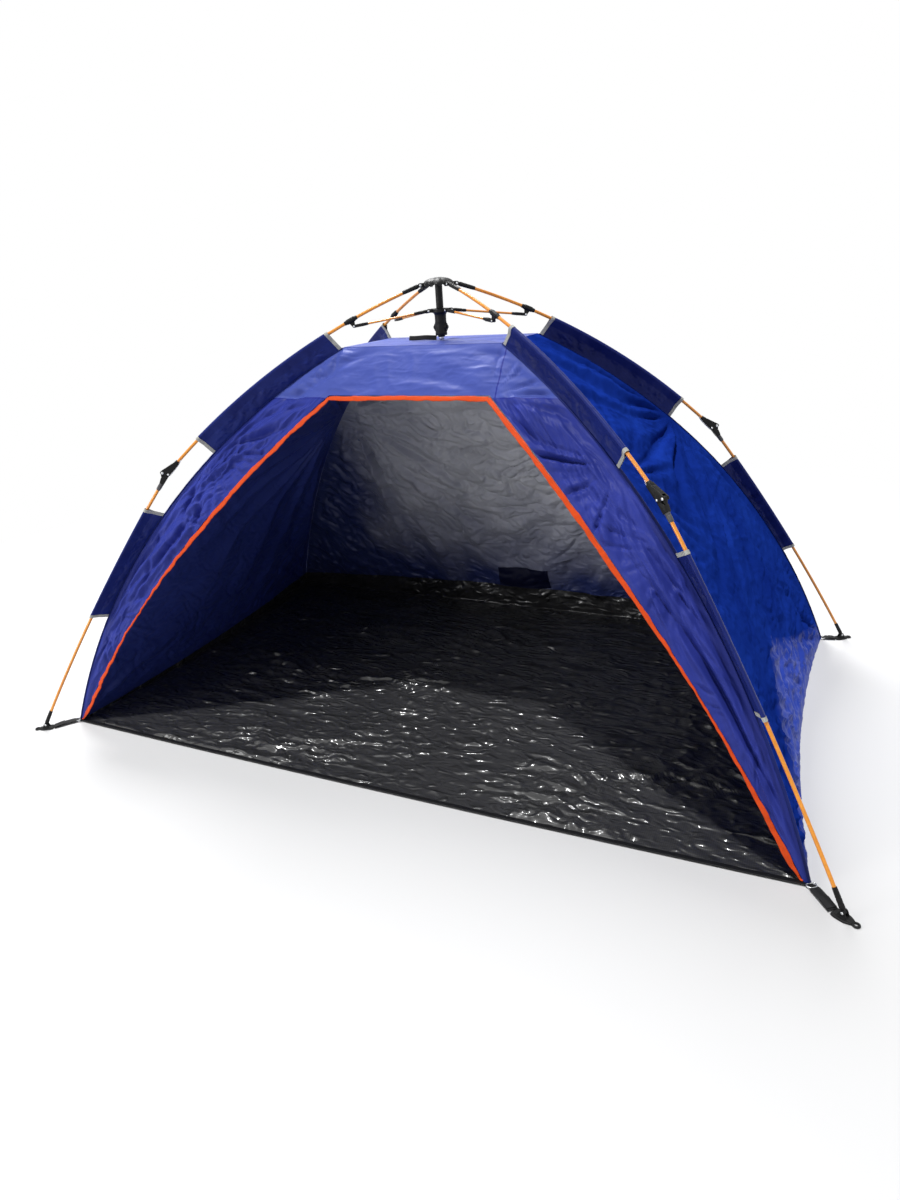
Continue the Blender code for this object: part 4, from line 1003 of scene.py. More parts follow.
a, b = front_flat[..., 0], front_flat[..., 1]
width_in, run = steps_along(front, 0), steps_along(front, 1)
height = np.zeros(a.shape)
seam_fans = ((0.32, 0.0150, 22, 0.50), (0.484, 0.0070, 24, 0.26), (0.746, 0.0100, 26, 0.40),
             (1.0, 0.0090, 34, 0.55))
for side in (-1, 1):
    for share, strength, folds, reach in seam_fans:
        hold = seam(side, -1, np.array([share]))[0]
        centre = (hold[0], float(depth_down(hold[2])))
        pleated = fan(a, b, centre, -side, folds, reach, 200 + int(100 * share) + side)
        height += rise_over(side * a, 0.12) * strength * pleated
    corner = (side * door_top_half, float(depth_down(door_top)))
    height += rise_over(side * a - 0.22, 0.06) * 0.0130 * fan(a, b, corner, side, 18, 0.50, 260 + side)
# Long pleats down the strips.
pleats = pleat(2 * np.pi * width_in / 0.055 + 2.4 * hills(width_in / 0.09, run / 0.55, 301))
strength = np.clip(0.65 + hills(width_in / 0.05, run / 0.45, 302), 0, 1.3)
height += rise_over(b - 0.38, 0.40) * 0.0135 * pleats * strength
# Level pleats over the doorway.
pleats = pleat(2 * np.pi * b / 0.060 + 3.0 * hills(a / 0.35, b / 0.12, 303))
strength = np.clip(0.3 + 1.2 * hills(a / 0.22, b / 0.09, 304), 0, 1)
height += rise_over(0.21 - b, 0.07) * 0.0040 * pleats * strength
# Small creases everywhere, and a net drawn out along the strips.
height += 0.0016 * (crumple(a, b, 0.10, 305) - 0.5)
net = crumple(run / 4.5, width_in, 0.080, 306, 3, 0.17) - 0.4
strength = np.clip(0.55 + 0.9 * hills(run / 0.3, width_in / 0.12, 307), 0.1, 1.2)
height += rise_over(b - 0.15, 0.06) * 0.0150 * net * strength
# Flat at the seams, the hem and the roof's edge.
height *= rise_over(width_in[-1:] - width_in, 0.035) * (0.15 + 0.85 * rise_over(width_in, 0.025))
height *= rise_over(b[-1:].max() - b, 0.05) * rise_over(b, 0.03)
highest = 0.021
front = front + grid_normals(front) * (highest * np.tanh(height / highest))[..., None]
print("front panel", front.shape, "folds", height.min().round(4), height.max().round(4))

# %% Front panel pieces
front_normals = grid_normals(front)
first_over, last_over = SIDE_COLUMNS, SIDE_COLUMNS + OVER_COLUMNS
last_column = 2 * SIDE_COLUMNS + OVER_COLUMNS
strips = {"left": (0, first_over, math.atan2(strip_heading, -1)),
          "right": (last_over, last_column, math.atan2(strip_heading, 1))}
for name, (low, high, azimuth) in strips.items():
    part = np.s_[:, low:high + 1]
    cloth_piece("front_wall_" + name, front[part], front_flat[part], [violet_taffeta, navy_coat],
                "blue_polyester", ("front_wall",), azimuth, normals=front_normals[part],
                rests=("roof", "floor"))
part = np.s_[:, first_over:last_over + 1]
cut_gores("front_wall_lintel", front[part], front_flat[part], 6, [violet_taffeta, navy_coat],
          "blue_polyester", ("front_wall",))

# %% [markdown]
# ## Roof panel
#
# The roof panel is a small level sheet that the mast's tip presses on, with creases that run out from the
# middle.

# %% Roof
ROOF_ROWS = 24


def roof_side(first, second, columns):
    """Rays from the middle to one edge of the panel, dished by 1 mm, with radial creases."""
    edge = np.linspace(first, second, columns)
    reach = np.linspace(0, 1, ROOF_ROWS)[:, None, None]
    points = np.concatenate([reach * edge, np.full((ROOF_ROWS, columns, 1), wall_top + 0.0007)], -1)
    x, y = points[..., 0], points[..., 1]
    turn, far = np.arctan2(y, x), np.hypot(x, y)
    held = rise_over(1 - reach[..., 0], 0.12) * rise_over(far, 0.06)
    creases = 0.0016 * np.sin(9 * turn + 2 * hills(x / 0.1, y / 0.1, 7)) + 0.0010 * crumple(x, y, 0.07, 401)
    points[..., 2] += held * (creases - 0.0022)
    return outward_grid(points, np.stack([x, y], -1))


rx, ry = roof_half
# The roof's flat places all lie above the lintel's sewn line, so the whole roof takes the lighter violet that
# is painted light.
for name, first, second, columns, count in (
        ("right", (rx, -ry), (rx, ry), 23, 2), ("back", (rx, ry), (-rx, ry), 41, 4),
        ("left", (-rx, ry), (-rx, -ry), 23, 2), ("front", (-rx, -ry), (rx, -ry), 41, 4)):
    cut_gores("roof_" + name, *roof_side(first, second, columns), count, [violet_taffeta, navy_coat],
              "blue_polyester", ("roof",), tip=True, rests=("mast_tip",))
print("roof", 2 * rx, "by", 2 * ry)

# %% [markdown]
# ## Groundsheet
#
# The groundsheet lies on the sand and rises in a lip along the side and back walls, which keeps sand out.
# It is cut from the middle into gores that meet the wall gores at the hem. The lip follows the wall's own
# folds, 3 mm inside.

# %% Groundsheet surfaces
GROUND_ROWS, LIP_ROWS = 136, 10
lip_inside = 0.0031


def row_between(grid, row):
    """The grid's points at fractional rows (rows, columns), straight between the rows above and below."""
    low = np.clip(np.floor(row).astype(int), 0, grid.shape[0] - 2)
    share = (row - low)[..., None]
    column = np.broadcast_to(np.arange(grid.shape[1]), row.shape)
    return grid[low, column] * (1 - share) + grid[low + 1, column] * share


def rows_at(points, heights):
    """The fractional rows of a wall that lie at the heights."""
    level = points[:, 0, 2]
    return np.interp(heights, level[::-1], np.arange(WALL_ROWS)[::-1].astype(float))


def lip_rows(points, tops):
    """The lip's points: the wall's inside face at heights from the ground to tops."""
    inside = points - grid_normals(points) * (wall_cloth + lip_inside)
    heights = np.linspace(0, 1, LIP_ROWS)[:, None] * tops
    found = row_between(inside, rows_at(points, heights))
    ruffle = 0.0012 * hills(found[..., 0] / 0.05 + found[..., 1] / 0.05, heights / 0.02, 88) - 0.0008
    found += grid_normals(points)[-1:] * ruffle[..., None]
    found[..., 2] = np.maximum(heights, 0.0016)
    return found


def ground_rows(edge, lip=None):
    """Straight rays from the middle to the hem, with long creases across them that die out at the hem, then
    the lip."""
    reach = np.linspace(0, 1, GROUND_ROWS)[:, None]
    x, y = reach * edge[:, 0], reach * edge[:, 1]
    to_edge = (1 - reach) * np.hypot(edge[:, 0], edge[:, 1])
    net = crumple(x + 0.05 * hills(x / 0.4, y / 0.4, 70), 2.4 * y, 0.22, 71, 3, 0.18)
    swell = 0.55 + 1.2 * hills(x / 0.33, y / 0.24, 77)
    creases = 0.0092 * net * np.clip(swell, 0.2, 1.2) + 0.0015 * np.clip(swell, 0, 1)
    points = np.stack([x, y, 0.0016 + rise_over(to_edge, 0.03) * creases], -1)
    flat = np.stack([x, y], -1)
    if lip is not None:
        points = np.concatenate([points, lip[1:]])
        stretch = 1 + steps_along(points[GROUND_ROWS - 1:], 0)[1:] / np.hypot(x[-1], y[-1])
        flat = np.concatenate([flat, stretch[..., None] * flat[-1]])
    return outward_grid(points, flat, (0, 0, -1))


floors = {}
for name in ("right_wall", "left_wall", "back_wall"):
    points = walls[name][0]
    hem = points[-1]
    if name == "back_wall":
        over = (hem[:, 0] - hem[0, 0]) / (hem[-1, 0] - hem[0, 0])
        tops = 0.050 + 0.048 * 4 * over * (1 - over)
    else:
        tops = 0.002 + 0.048 * (hem[:, 1] - hem[:, 1].min()) / np.ptp(hem[:, 1])
    lip = lip_rows(points, tops)
    floors[name] = ground_rows(lip[0, :, :2], lip)
hem_line = floors["right_wall"][0][GROUND_ROWS - 1]
corner_right = hem_line[np.argmin(hem_line[:, 1])]
over = np.linspace(0, 1, 241)
front_edge = np.stack([corner_right[0] * (2 * over - 1), corner_right[1] - 0.010 * 4 * over * (1 - over)], -1)
floors["front"] = ground_rows(front_edge)
print("groundsheet", {name: points.shape for name, (points, flat) in floors.items()})

# %% Groundsheet gores
for name, count in (("right_wall", 4), ("left_wall", 4), ("back_wall", 8), ("front", 8)):
    cut_gores("groundsheet_" + name.replace("_wall", ""), *floors[name], count,
              [black_sheeting, black_sheeting], "black_sheeting", ("floor",), tip=True, held="laid",
              thickness=0.0007)

# %% [markdown]
# ## Bindings and seams
#
# The doorway is bound with an orange ribbon, slightly ruffled where the thread pulls it. The front edge of
# the groundsheet has a narrow black hem, and each corner seam is covered with a flat tape. A ribbon is a
# rounded band carried along a line of points.

# %% Ribbons
def ribbon(centre, across, half_width, half_thickness):
    """A rounded band carried along centre. Also gives each point's flat place."""
    along = np.gradient(centre, axis=0)
    along /= np.linalg.norm(along, axis=-1, keepdims=True)
    across = across - (across * along).sum(-1, keepdims=True) * along
    across /= np.linalg.norm(across, axis=-1, keepdims=True)
    normal = np.cross(along, across)
    sizes = (np.broadcast_to(size, len(centre)) for size in (half_width, half_thickness))
    wide, high = superellipse(*sizes, square=3.4, sides=14)
    rings = centre[:, None] + across[:, None] * wide[..., None] + normal[:, None] * high[..., None]
    distance = np.broadcast_to(steps_along(centre, 0)[:, None], wide.shape)
    return loft(rings), np.stack([distance, wide], -1).reshape(-1, 2)


def tape_piece(name, bands, material, slot, replaced, azimuth):
    """Ribbons as one piece."""
    shells, places = zip(*bands)
    fold_in(rigid_piece(name, shells, material, "root", slot, replaced, 60, np.vstack(places)), azimuth)

# %% Doorway binding
centre, beside = door_line(0.0), door_line(0.007)
toward = beside - centre
toward /= np.linalg.norm(toward, axis=-1, keepdims=True)
distance = steps_along(centre, 0)
ruffle = 0.0022 * hills(distance / 0.045, 0.5, 501) + 0.0014 * hills(distance / 0.015, 1.5, 502)
share_down = np.clip((np.abs(2 * distance / distance[-1] - 1) - 0.15) / 0.85, 0, 1)   # 1 at both feet
slim = 0.6 * np.exp(-((share_down - 0.68) / 0.17) ** 2)
slim = 1 - (1 - slim) * (0.35 + 0.65 * rise_over(1 - share_down, 0.04))
half_width = (0.0068 + 0.0022 * hills(distance / 0.050, 3.1, 503)) * (1 - slim)
# Where the band is slim it keeps to the cloth.
centre = centre + toward * (0.8 * ruffle + (cloth_edge + 0.0005) * slim)[:, None]
centre = centre + np.array([0, -1, 0.3]) * (0.0006 + ruffle)[:, None]
centre[:, 2] = np.maximum(centre[:, 2], 0.0080)
bands = dict(strips)
for number, (low, high) in enumerate(spans(first_over, last_over, 6), 1):
    bands[f"over_{number}"] = (low, high, part_azimuth(front[:, low:high + 1]))
for name, (low, high, azimuth) in bands.items():
    part = np.s_[low:high + 1]
    tape_piece("door_trim_" + name, [ribbon(centre[part], toward[part], half_width[part], 0.0016)],
               orange_grosgrain, "orange_binding", ("door_trim",), azimuth)
print("doorway binding", round(float(distance[-1]), 3), "m")

# %% Hem of the groundsheet and tapes over the corner seams
edge = np.concatenate([front_edge, np.full((len(front_edge), 1), 0.0030)], -1)
edge[:, 2] += 0.0007 * hills(edge[:, 0] / 0.05, 0.3, 511)
for number, (low, high) in enumerate(spans(0, len(edge) - 1, 8), 1):
    part = edge[low:high + 1]
    across = np.tile([0.0, 1.0, 0.0], (len(part), 1))
    tape_piece(f"threshold_hem_{number}", [ribbon(part, across, 0.0075, 0.0018)], black_tape,
               "black_sheeting", ("floor",), part_azimuth(part))
for key, (side, end) in LEGS.items():
    line = seam(side, end, np.linspace(0.002, 0.997, 170))
    spread = np.tile([-float(side), float(end), 0.0], (len(line), 1))
    out = np.cross(np.gradient(line, axis=0), spread)
    out *= np.sign((out * (line - [0, 0, 0.2])).sum(-1, keepdims=True))
    out /= np.linalg.norm(out, axis=-1, keepdims=True)
    pucker = 0.0005 * hills(steps_along(line, 0) / 0.02, 2.2, 520)
    line = line + out * (0.0003 + pucker)[:, None]
    line[:, 2] = np.maximum(line[:, 2], 0.0060)
    tape_piece("corner_seam_" + key, [ribbon(line, spread, 0.0045, 0.0011)], navy_taffeta, "navy_polyester",
               (), part_azimuth(line))
print("tapes done")

# %% [markdown]
# ## Sleeves and their fins
#
# A sleeve is one strip of navy cloth, folded over the pole and sewn down onto the corner seam, so it has a
# round tunnel at the top and a double fin below. Grey tape binds both ends. Each rides on its pole.

# %% Sleeves
TUNNEL = 0.0072             # radius of the tunnel round the pole
MEET = 2.6 * TUNNEL         # how far under the pole the strip's two sides meet

# One side of the strip's section: flat up to a little under the pole, along the tangent, and round the pole.
round_pole = np.linspace(math.acos(TUNNEL / MEET) + 0.12, math.pi, 11)
section_down = np.concatenate([np.linspace(1.0, MEET, 18), TUNNEL * np.cos(round_pole)])
section_wide = np.concatenate([np.full(18, 0.0007), TUNNEL * np.sin(round_pole)])


def sleeve_grid(key, at, start, stop, shares, count, seed, slack):
    """Stations along the pole by points round the section: pole + down * share of the way to the seam +
    width."""
    distance = np.linspace(start, stop, count)
    place, _ = at(distance)
    centre = stand(key, np.stack([place[:, 0], np.zeros(count), place[:, 1]], -1))
    hang = seam(*LEGS[key], np.linspace(*shares, count)) - centre
    reach = np.linalg.norm(hang, axis=-1)[:, None] - 0.0012
    hang /= np.linalg.norm(hang, axis=-1, keepdims=True)
    low = section_down > MEET - 1e-9
    share = np.where(low, (section_down - MEET) / (1 - MEET), 0.0)
    depth = np.where(low, MEET + share * (reach - MEET), section_down)
    fall = np.concatenate([depth, depth[:, ::-1][:, 1:]], 1)
    width = np.concatenate([section_wide, -section_wide[::-1][1:]])
    run = distance[:, None] - distance[0]
    free = np.sin(np.pi * np.clip((fall - TUNNEL) / (reach - TUNNEL), 0, 1))
    wave = slack * (hills(run / 0.09, fall / 0.07, seed) + 0.8 * crumple(run, fall, 0.05, seed + 3))
    # The bindings stiffen both ends.
    wave *= 0.25 + 0.75 * rise_over(np.minimum(run, run[-1] - run), 0.06)
    width = width[None, :] * (1 + 0.10 * hills(run / 0.03, 0.0, seed + 9)) + free * wave
    grid = centre[:, None] + hang[:, None] * fall[..., None] + stand(key, [0.0, 1.0, 0.0]) * width[..., None]
    round_it = steps_along(grid, 1)
    places = np.stack([np.broadcast_to(run, round_it.shape), round_it - round_it[:, -1:] / 2], -1)
    return grid, places


def sleeve_pieces(name, key, at, start, stop, shares, seed, slack):
    """A sleeve on its pole, and a tape round each end."""
    body = f"{name.split('_')[0]}_{key}"
    count = int((stop - start) / 0.008) + 1
    grid, places = sleeve_grid(key, at, start, stop, shares, count, seed, slack)
    if grid_normals(grid)[count // 2, 3] @ stand(key, [0.0, 1.0, 0.0]) < 0:
        grid, places = grid[:, ::-1], places[:, ::-1]
    normals = grid_normals(grid)
    cloth_piece(f"{name}_{key}", grid, places, [navy_taffeta, navy_taffeta], "navy_polyester",
                (f"{name}_{key}",), None, body, held="hung", normals=normals, thickness=0.0005)
    for label, last, before in (("top", 0, 1), ("foot", -1, -2)):
        edge = grid[last] + (grid[last] - grid[before]) * 0.16
        over = np.linspace(0, 1, 7)[:, None, None] * (grid[before] - edge) * 1.12
        band = edge + over + normals[last] * 0.0009
        if (grid_normals(band)[3] * normals[last]).sum() <= 0:
            band = band[::-1]
        places = np.stack([steps_along(band, 1), steps_along(band, 0)], -1)
        cloth_piece(f"{name}_binding_{label}_{key}", band, places, [grey_tape, grey_tape], "navy_polyester",
                    (), None, body, held="folded", thickness=0.0008)


for number, (key, (_, end)) in enumerate(LEGS.items()):
    sleeve_pieces("upper_sleeve", key, upper_at, 0.298, upper_length - 0.145, (0.004, 0.320), 600 + number,
                  0.0055)
    sleeve_pieces("lower_sleeve", key, lower_at, 0.125, 0.125 + 0.403, (0.484, 0.746), 640 + number,
                  0.0085 if end > 0 else 0.0045)
print("sleeves done")

# %% [markdown]
# ## Shapes for the hard parts
#
# Nearly every moulding on the frame is a long body whose width and height change along it, or a rounded
# plate. Both are rings: a superellipse, |y / w|^e + |z / h|^e = 1, carried along a pole, or an outline that
# shrinks near the plate's two faces to round its edges.

# %% Bodies along a heading, plates and turned shapes
def body_along(place, heading, x, width, height, lift=0.0, square=2.0, sides=28):
    """Closed shell in a leg's plane: at distance x along the heading a superellipse of half sizes width
    (across the plane) and height (in it), raised by lift."""
    x = np.asarray(x, float)
    y, z = superellipse(*(np.broadcast_to(size, x.shape) for size in (width, height, square)), sides)
    z = z + np.broadcast_to(lift, x.shape)[:, None]
    s, up = rotated(x[:, None], z, heading)
    return loft(np.stack([place[0] + s, y, place[1] + up], -1))


def bar_on_bow(at, start, stop, radius, count=64, sides=20):
    """A round bar along a pole's bow: a circle in the plane square to the heading at each distance."""
    place, heading = at(np.linspace(start, stop, count))
    y, out = radius * np.cos(full_turn(sides)), radius * np.sin(full_turn(sides))
    s = place[:, :1] - np.sin(heading)[:, None] * out
    z = place[:, 1:] + np.cos(heading)[:, None] * out
    return loft(np.stack([s, np.broadcast_to(y, s.shape), z], -1))


def hull(points):
    """The convex outline round some 2D points, anticlockwise."""
    points = sorted({(round(float(x), 7), round(float(y), 7)) for x, y in points})

    def turns_left(a, b, c):
        return (b[0] - a[0]) * (c[1] - b[1]) - (b[1] - a[1]) * (c[0] - b[0]) > 0

    def chain(ordered):
        out = []
        for p in ordered:
            while len(out) > 1 and not turns_left(out[-2], out[-1], p):
                out.pop()
            out.append(p)
        return out[:-1]

    return np.array(chain(points) + chain(points[::-1]))


def circle(x, y, radius):
    turn = full_turn(28)
    return np.stack([x + radius * np.cos(turn), y + radius * np.sin(turn)], -1)


def evenly(outline, step=0.0009):
    """The same outline with points a step apart, so that its rounded edge stays even."""
    closed = np.vstack([outline, outline[:1]])
    along = steps_along(closed, 0)
    wanted = np.linspace(0, along[-1], max(12, int(along[-1] / step)), endpoint=False)
    return np.stack([np.interp(wanted, along, closed[:, k]) for k in (0, 1)], -1)


def plate(outline, low, high, edge):
    """A plate in a leg's plane, from low to high across it: the outline, moved inwards by edge * (1 - sin)
    while it sinks by edge * (1 - cos) of a quarter turn at each face."""
    outline = evenly(outline)
    tangent = np.roll(outline, -1, 0) - np.roll(outline, 1, 0)
    inward = np.stack([-tangent[:, 1], tangent[:, 0]], -1) / np.linalg.norm(tangent, axis=-1, keepdims=True)
    quarter = np.linspace(0, np.pi / 2, 4)
    inset, sunk = edge * (1 - np.sin(quarter)), edge * (1 - np.cos(quarter))
    ring = outline + np.concatenate([inset, inset[::-1]])[:, None, None] * inward
    across = np.concatenate([low + sunk, high - sunk[::-1]])
    return loft(np.stack([ring[..., 0], np.broadcast_to(across[:, None], ring.shape[:2]), ring[..., 1]], -1))


def placed(shell, place, heading):
    """A shell drawn flat, x ahead and z outwards, set at a place and heading in the leg's plane."""
    def change(points):
        s, up = rotated(points[:, 0], points[:, 2], heading)
        return np.stack([place[0] + s, points[:, 1], place[1] + up], -1)
    return moved(shell, change)


def turned(profile, closed=False, sides=72):
    """A profile of (radius, height) turned about the mast's axis."""
    profile = np.asarray(profile, float)
    radius, turn = np.maximum(profile[:, :1], 1e-5), full_turn(sides)
    height = np.broadcast_to(profile[:, 1:], (len(profile), sides))
    return loft(np.stack([radius * np.cos(turn), radius * np.sin(turn), height], -1), closed)


def pin_across(x, z, half_length, radius, head_radius, head):
    """A rivet across the leg's plane: a shaft with a domed head at each end."""
    quarter = np.linspace(0, np.pi / 2, 5)
    dome = np.stack([head_radius * np.sin(quarter), half_length + head * np.cos(quarter)], -1)
    shaft = [(head_radius, -half_length), (radius, -half_length), (radius, half_length),
             (head_radius, half_length)]
    shell = turned(np.vstack([dome * [1, -1], shaft, dome[::-1]]), sides=20)
    return moved(shell, lambda points: points[:, [0, 2, 1]] + [x, 0, z])


def in_leg(key, shells):
    return [moved(shell, lambda points: stand(key, points)) for shell in shells]


def on_each_leg(name, shells, material, half, slot="black_plastic", cad=True, crease=35):
    """The same piece on all four legs. Half is the part of the leg that carries it, and cad says whether
    the piece stands for a CAD node of its own name."""
    for key in LEGS:
        node = f"{name}_{key}"
        rigid_piece(node, in_leg(key, shells), material, f"{half}_{key}", slot, (node,) if cad else (),
                    crease)


def rivet_on_each_leg(name, place, half, half_length, radius, head_radius, head):
    rivet = pin_across(*place, half_length, radius, head_radius, head)
    on_each_leg(name, [rivet], zinc_steel, half, "bright_steel", cad=False, crease=38)

# %% [markdown]
# ## Hub, mast and runner
#
# The hub is a moulded dome with flutes and a scalloped skirt. Between the scallops four pairs of cheeks
# hold the poles. The runner slides on the mast and pushes the legs open through the struts; its two buttons
# lock it.

# %% Hub
def arch_phase(turn):
    """Counts 12 scallops round the hub so that each leg falls between two: 2 over each side, 4 over front
    and back."""
    legs = np.array([0, 0, np.pi, np.pi, 2 * np.pi]) + leg_azimuth * np.array([-1, 1, -1, 1, -1])
    return np.interp((turn + leg_azimuth) % (2 * np.pi) - leg_azimuth, legs, [0, 2, 6, 8, 12])


turn = full_turn(288)
phase = arch_phase(turn)
arch = np.abs(np.sin(np.pi * phase)) ** 0.7
flute = np.cos(2 * np.pi * phase)
# Radius, height from the peak, how much the flutes show, how much the scallops show.
hub_profile = np.array([
    (0.0005, 0.0000, 0, 0), (0.0100, -0.0002, 0, 0), (0.0125, -0.0010, 0, 0), (0.0140, -0.0011, 0, 0),
    (0.0200, -0.0019, 0.3, 0), (0.0270, -0.0036, 0.8, 0), (0.0330, -0.0060, 1, 0), (0.0380, -0.0090, 1, 0),
    (0.0415, -0.0125, 1, 0), (0.0432, -0.0160, 0.8, 0), (0.0440, -0.0225, 0.4, 0.75),
    (0.0452, -0.0243, 0.2, 1), (0.0455, -0.0256, 0, 1), (0.0447, -0.0264, 0, 1), (0.0432, -0.0262, 0, 1),
    (0.0425, -0.0235, 0, 0.8), (0.0415, -0.0175, 0, 0.1), (0.0400, -0.0160, 0, 0), (0.0125, -0.0156, 0, 0),
    (0.0118, -0.0164, 0, 0), (0.0108, -0.0164, 0, 0), (0.0105, -0.0130, 0, 0)])
radius, drop, fluted, arched = (hub_profile[:, k:k + 1] for k in range(4))
radius = radius + 0.0007 * fluted * flute
height = peak + drop + arched * 0.0072 * arch + 0.0005 * fluted * (flute - 1) * 0.5
dome = loft(np.stack([radius * np.cos(turn), radius * np.sin(turn), height + 0 * turn], -1))


def cheeks(pivot, root, end_radius, half_slot, thickness, edge=0.0007):
    """Pairs of rounded cheeks on all four legs, each from the root to round the pivot."""
    back = root - pivot[0]
    outline = hull([*circle(0, 0, end_radius), (back, end_radius * 0.95), (back, -end_radius)])
    pair = [plate(outline, low, low + thickness, edge) for low in (half_slot, -half_slot - thickness)]
    return [shell for key in LEGS for shell in in_leg(key, [placed(cheek, pivot, 0.0) for cheek in pair])]


rigid_piece("hub", [dome] + cheeks(hub_pivot, 0.0415, 0.006, 0.005, 0.003), gloss_nylon, "root",
            "black_plastic", ("hub",), crease=30)
print("hub: 12 scallops, 8 cheeks")

# %% Mast and its tip
mast_bottom, mast_top = 1.1385, peak - 0.0155 + 0.0087
shaft = [(0.0, mast_bottom), (0.0095, mast_bottom), (0.0105, mast_bottom + 0.001),
         (0.0105, mast_top - 0.0005), (0.0100, mast_top), (0.0, mast_top)]
rigid_piece("mast", [turned(shaft)], grained_nylon, "root", "black_plastic", ("mast",))
knurl = [(0.0, 1.1382), (0.0070, 1.1382), (0.0080, 1.1376), (0.0080, 1.1362), (0.0068, 1.1357),
         (0.0068, 1.1349), (0.0084, 1.1343), (0.0085, 1.1325), (0.0076, 1.1312), (0.0040, 1.1302),
         (0.0, 1.1300)]
rigid_piece("mast_tip", [turned(knurl)], zinc_steel, "root", "bright_steel", ("mast_tip",), crease=50)

# %% Runner
runner_pivot = np.array([0.034, hub_pivot[1] - 0.070])
top, bottom, button_height = 1.2165, 1.1425, 1.165
sleeve = [(0.0112, top), (0.0225, top), (0.0238, top - 0.0008), (0.0240, top - 0.0025), (0.0240, 1.2065),
          (0.0232, 1.2053), (0.0205, 1.2045), (0.0182, 1.2020), (0.0170, 1.1985), (0.0165, 1.1930),
          (0.0165, 1.1800), (0.0171, 1.1793), (0.0171, 1.1772), (0.0165, 1.1765), (0.0165, 1.1520),
          (0.0170, 1.1512), (0.0170, 1.1440), (0.0162, 1.1427), (0.0150, bottom), (0.0112, bottom)]
collar_profile = [(0.0062, 0.0150), (0.0088, 0.0150), (0.0086, 0.0182), (0.0078, 0.0190), (0.0068, 0.0190),
                  (0.0062, 0.0182)]
cap_profile = [(0.0, 0.0235), (0.0022, 0.0234), (0.0038, 0.0229), (0.0050, 0.0218), (0.0056, 0.0200),
               (0.0056, 0.0146), (0.0, 0.0146)]


def out_of_runner(side, profile, sides, taller=0.0, **more):
    """A profile of (radius, distance out) turned about the buttons' line, taller by a share outside the
    hole."""
    radius, out = np.array(profile)[:, :1], np.array(profile)[:, 1:]
    turn = full_turn(sides)
    tall = 1 + taller * np.abs(np.sin(turn)) * (radius > 0.0063)
    radius = np.maximum(radius, 1e-5)
    z = button_height + radius * tall * np.sin(turn)
    return loft(np.stack([side * np.broadcast_to(out, z.shape), radius * np.cos(turn), z], -1), **more)


collars = [out_of_runner(side, collar_profile, 36, 0.35, closed=True) for side in (-1, 1)]
grips = cheeks(runner_pivot, 0.0205, 0.0052, 0.004, 0.0026, 0.0006)
rigid_piece("runner", [turned(sleeve, closed=True)] + collars + grips, grained_nylon, "runner",
            "black_plastic", ("runner",), crease=32)
for name, side in (("button_right", 1), ("button_left", -1)):
    rigid_piece(name, [out_of_runner(side, cap_profile, 32)], gloss_nylon, name, "black_plastic", (name,))
print("runner from", bottom, "to", top)

# %% [markdown]
# ## Legs
#
# Each leg is an upper pole, a strut with its clamp, an elbow, a lower pole and a foot. The elbow's upper
# half is a housing with two cheeks and a steel spring along its inner side; the lower half is a tongue that
# turns between them.

# %% Poles and their ferrules
def ferrule(place, heading, eye_radius, half_eye):
    """A moulded end: a flat round eye at the pin, a neck, and a sleeve with two grooves that tapers onto
    the pole."""
    x = np.array([-eye_radius, -0.85 * eye_radius, -0.5 * eye_radius, 0, 0.0045, 0.0070, 0.0078, 0.0095,
                  0.0180, 0.0188, 0.0202, 0.0210, 0.0290, 0.0298, 0.0312, 0.0320, 0.0480, 0.0540, 0.0550])
    h = np.array([0.0006, 0.53 * eye_radius, 0.87 * eye_radius, eye_radius, 0.0044, 0.0048, 0.0060, 0.0062,
                  0.0061, 0.0056, 0.0056, 0.0060, 0.0060, 0.0055, 0.0055, 0.0059, 0.0056, 0.0052, 0.0050])
    eye = x < 0.0072
    return body_along(place, heading, x, np.where(eye, half_eye, h), h, square=np.where(eye, 6.0, 2.2))


hub_heading, foot_heading = float(upper_at(0)[1]), float(lower_at(lower_length)[1]) + math.pi
for half, at, start, stop in (("upper", upper_at, 0.007 + 0.024, upper_length - 0.015),
                              ("lower", lower_at, 0.015, lower_length - 0.006 - 0.024)):
    on_each_leg(half + "_pole", [bar_on_bow(at, start, stop, pole_radius)], orange_fibre, half, "pole_orange")
for end, half, place, heading, eye_radius, half_eye, half_rivet in (
        ("hub", "upper", hub_pivot, hub_heading, 0.005, 0.0045, 0.0081),
        ("foot", "lower", foot_pivot, foot_heading, 0.0052, 0.004, 0.0077)):
    on_each_leg(end + "_ferrule", [ferrule(place, heading, eye_radius, half_eye)], gloss_nylon, half,
                cad=False)
    rivet_on_each_leg(end + "_rivet", place, half, half_rivet, 0.002, 0.0034, 0.0009)
print("poles done")

# %% Struts and clamps
clamp_place, clamp_heading = upper_at(0.222)
clamp_heading = float(clamp_heading)
clamp_drop = 0.018          # from the pole down to the pin in the clamp's lug
clamp_pivot = clamp_place + clamp_drop * np.array([math.sin(clamp_heading), -math.cos(clamp_heading)])
strut_line = clamp_pivot - runner_pivot
strut_length, strut_heading = math.hypot(*strut_line), math.atan2(strut_line[1], strut_line[0])

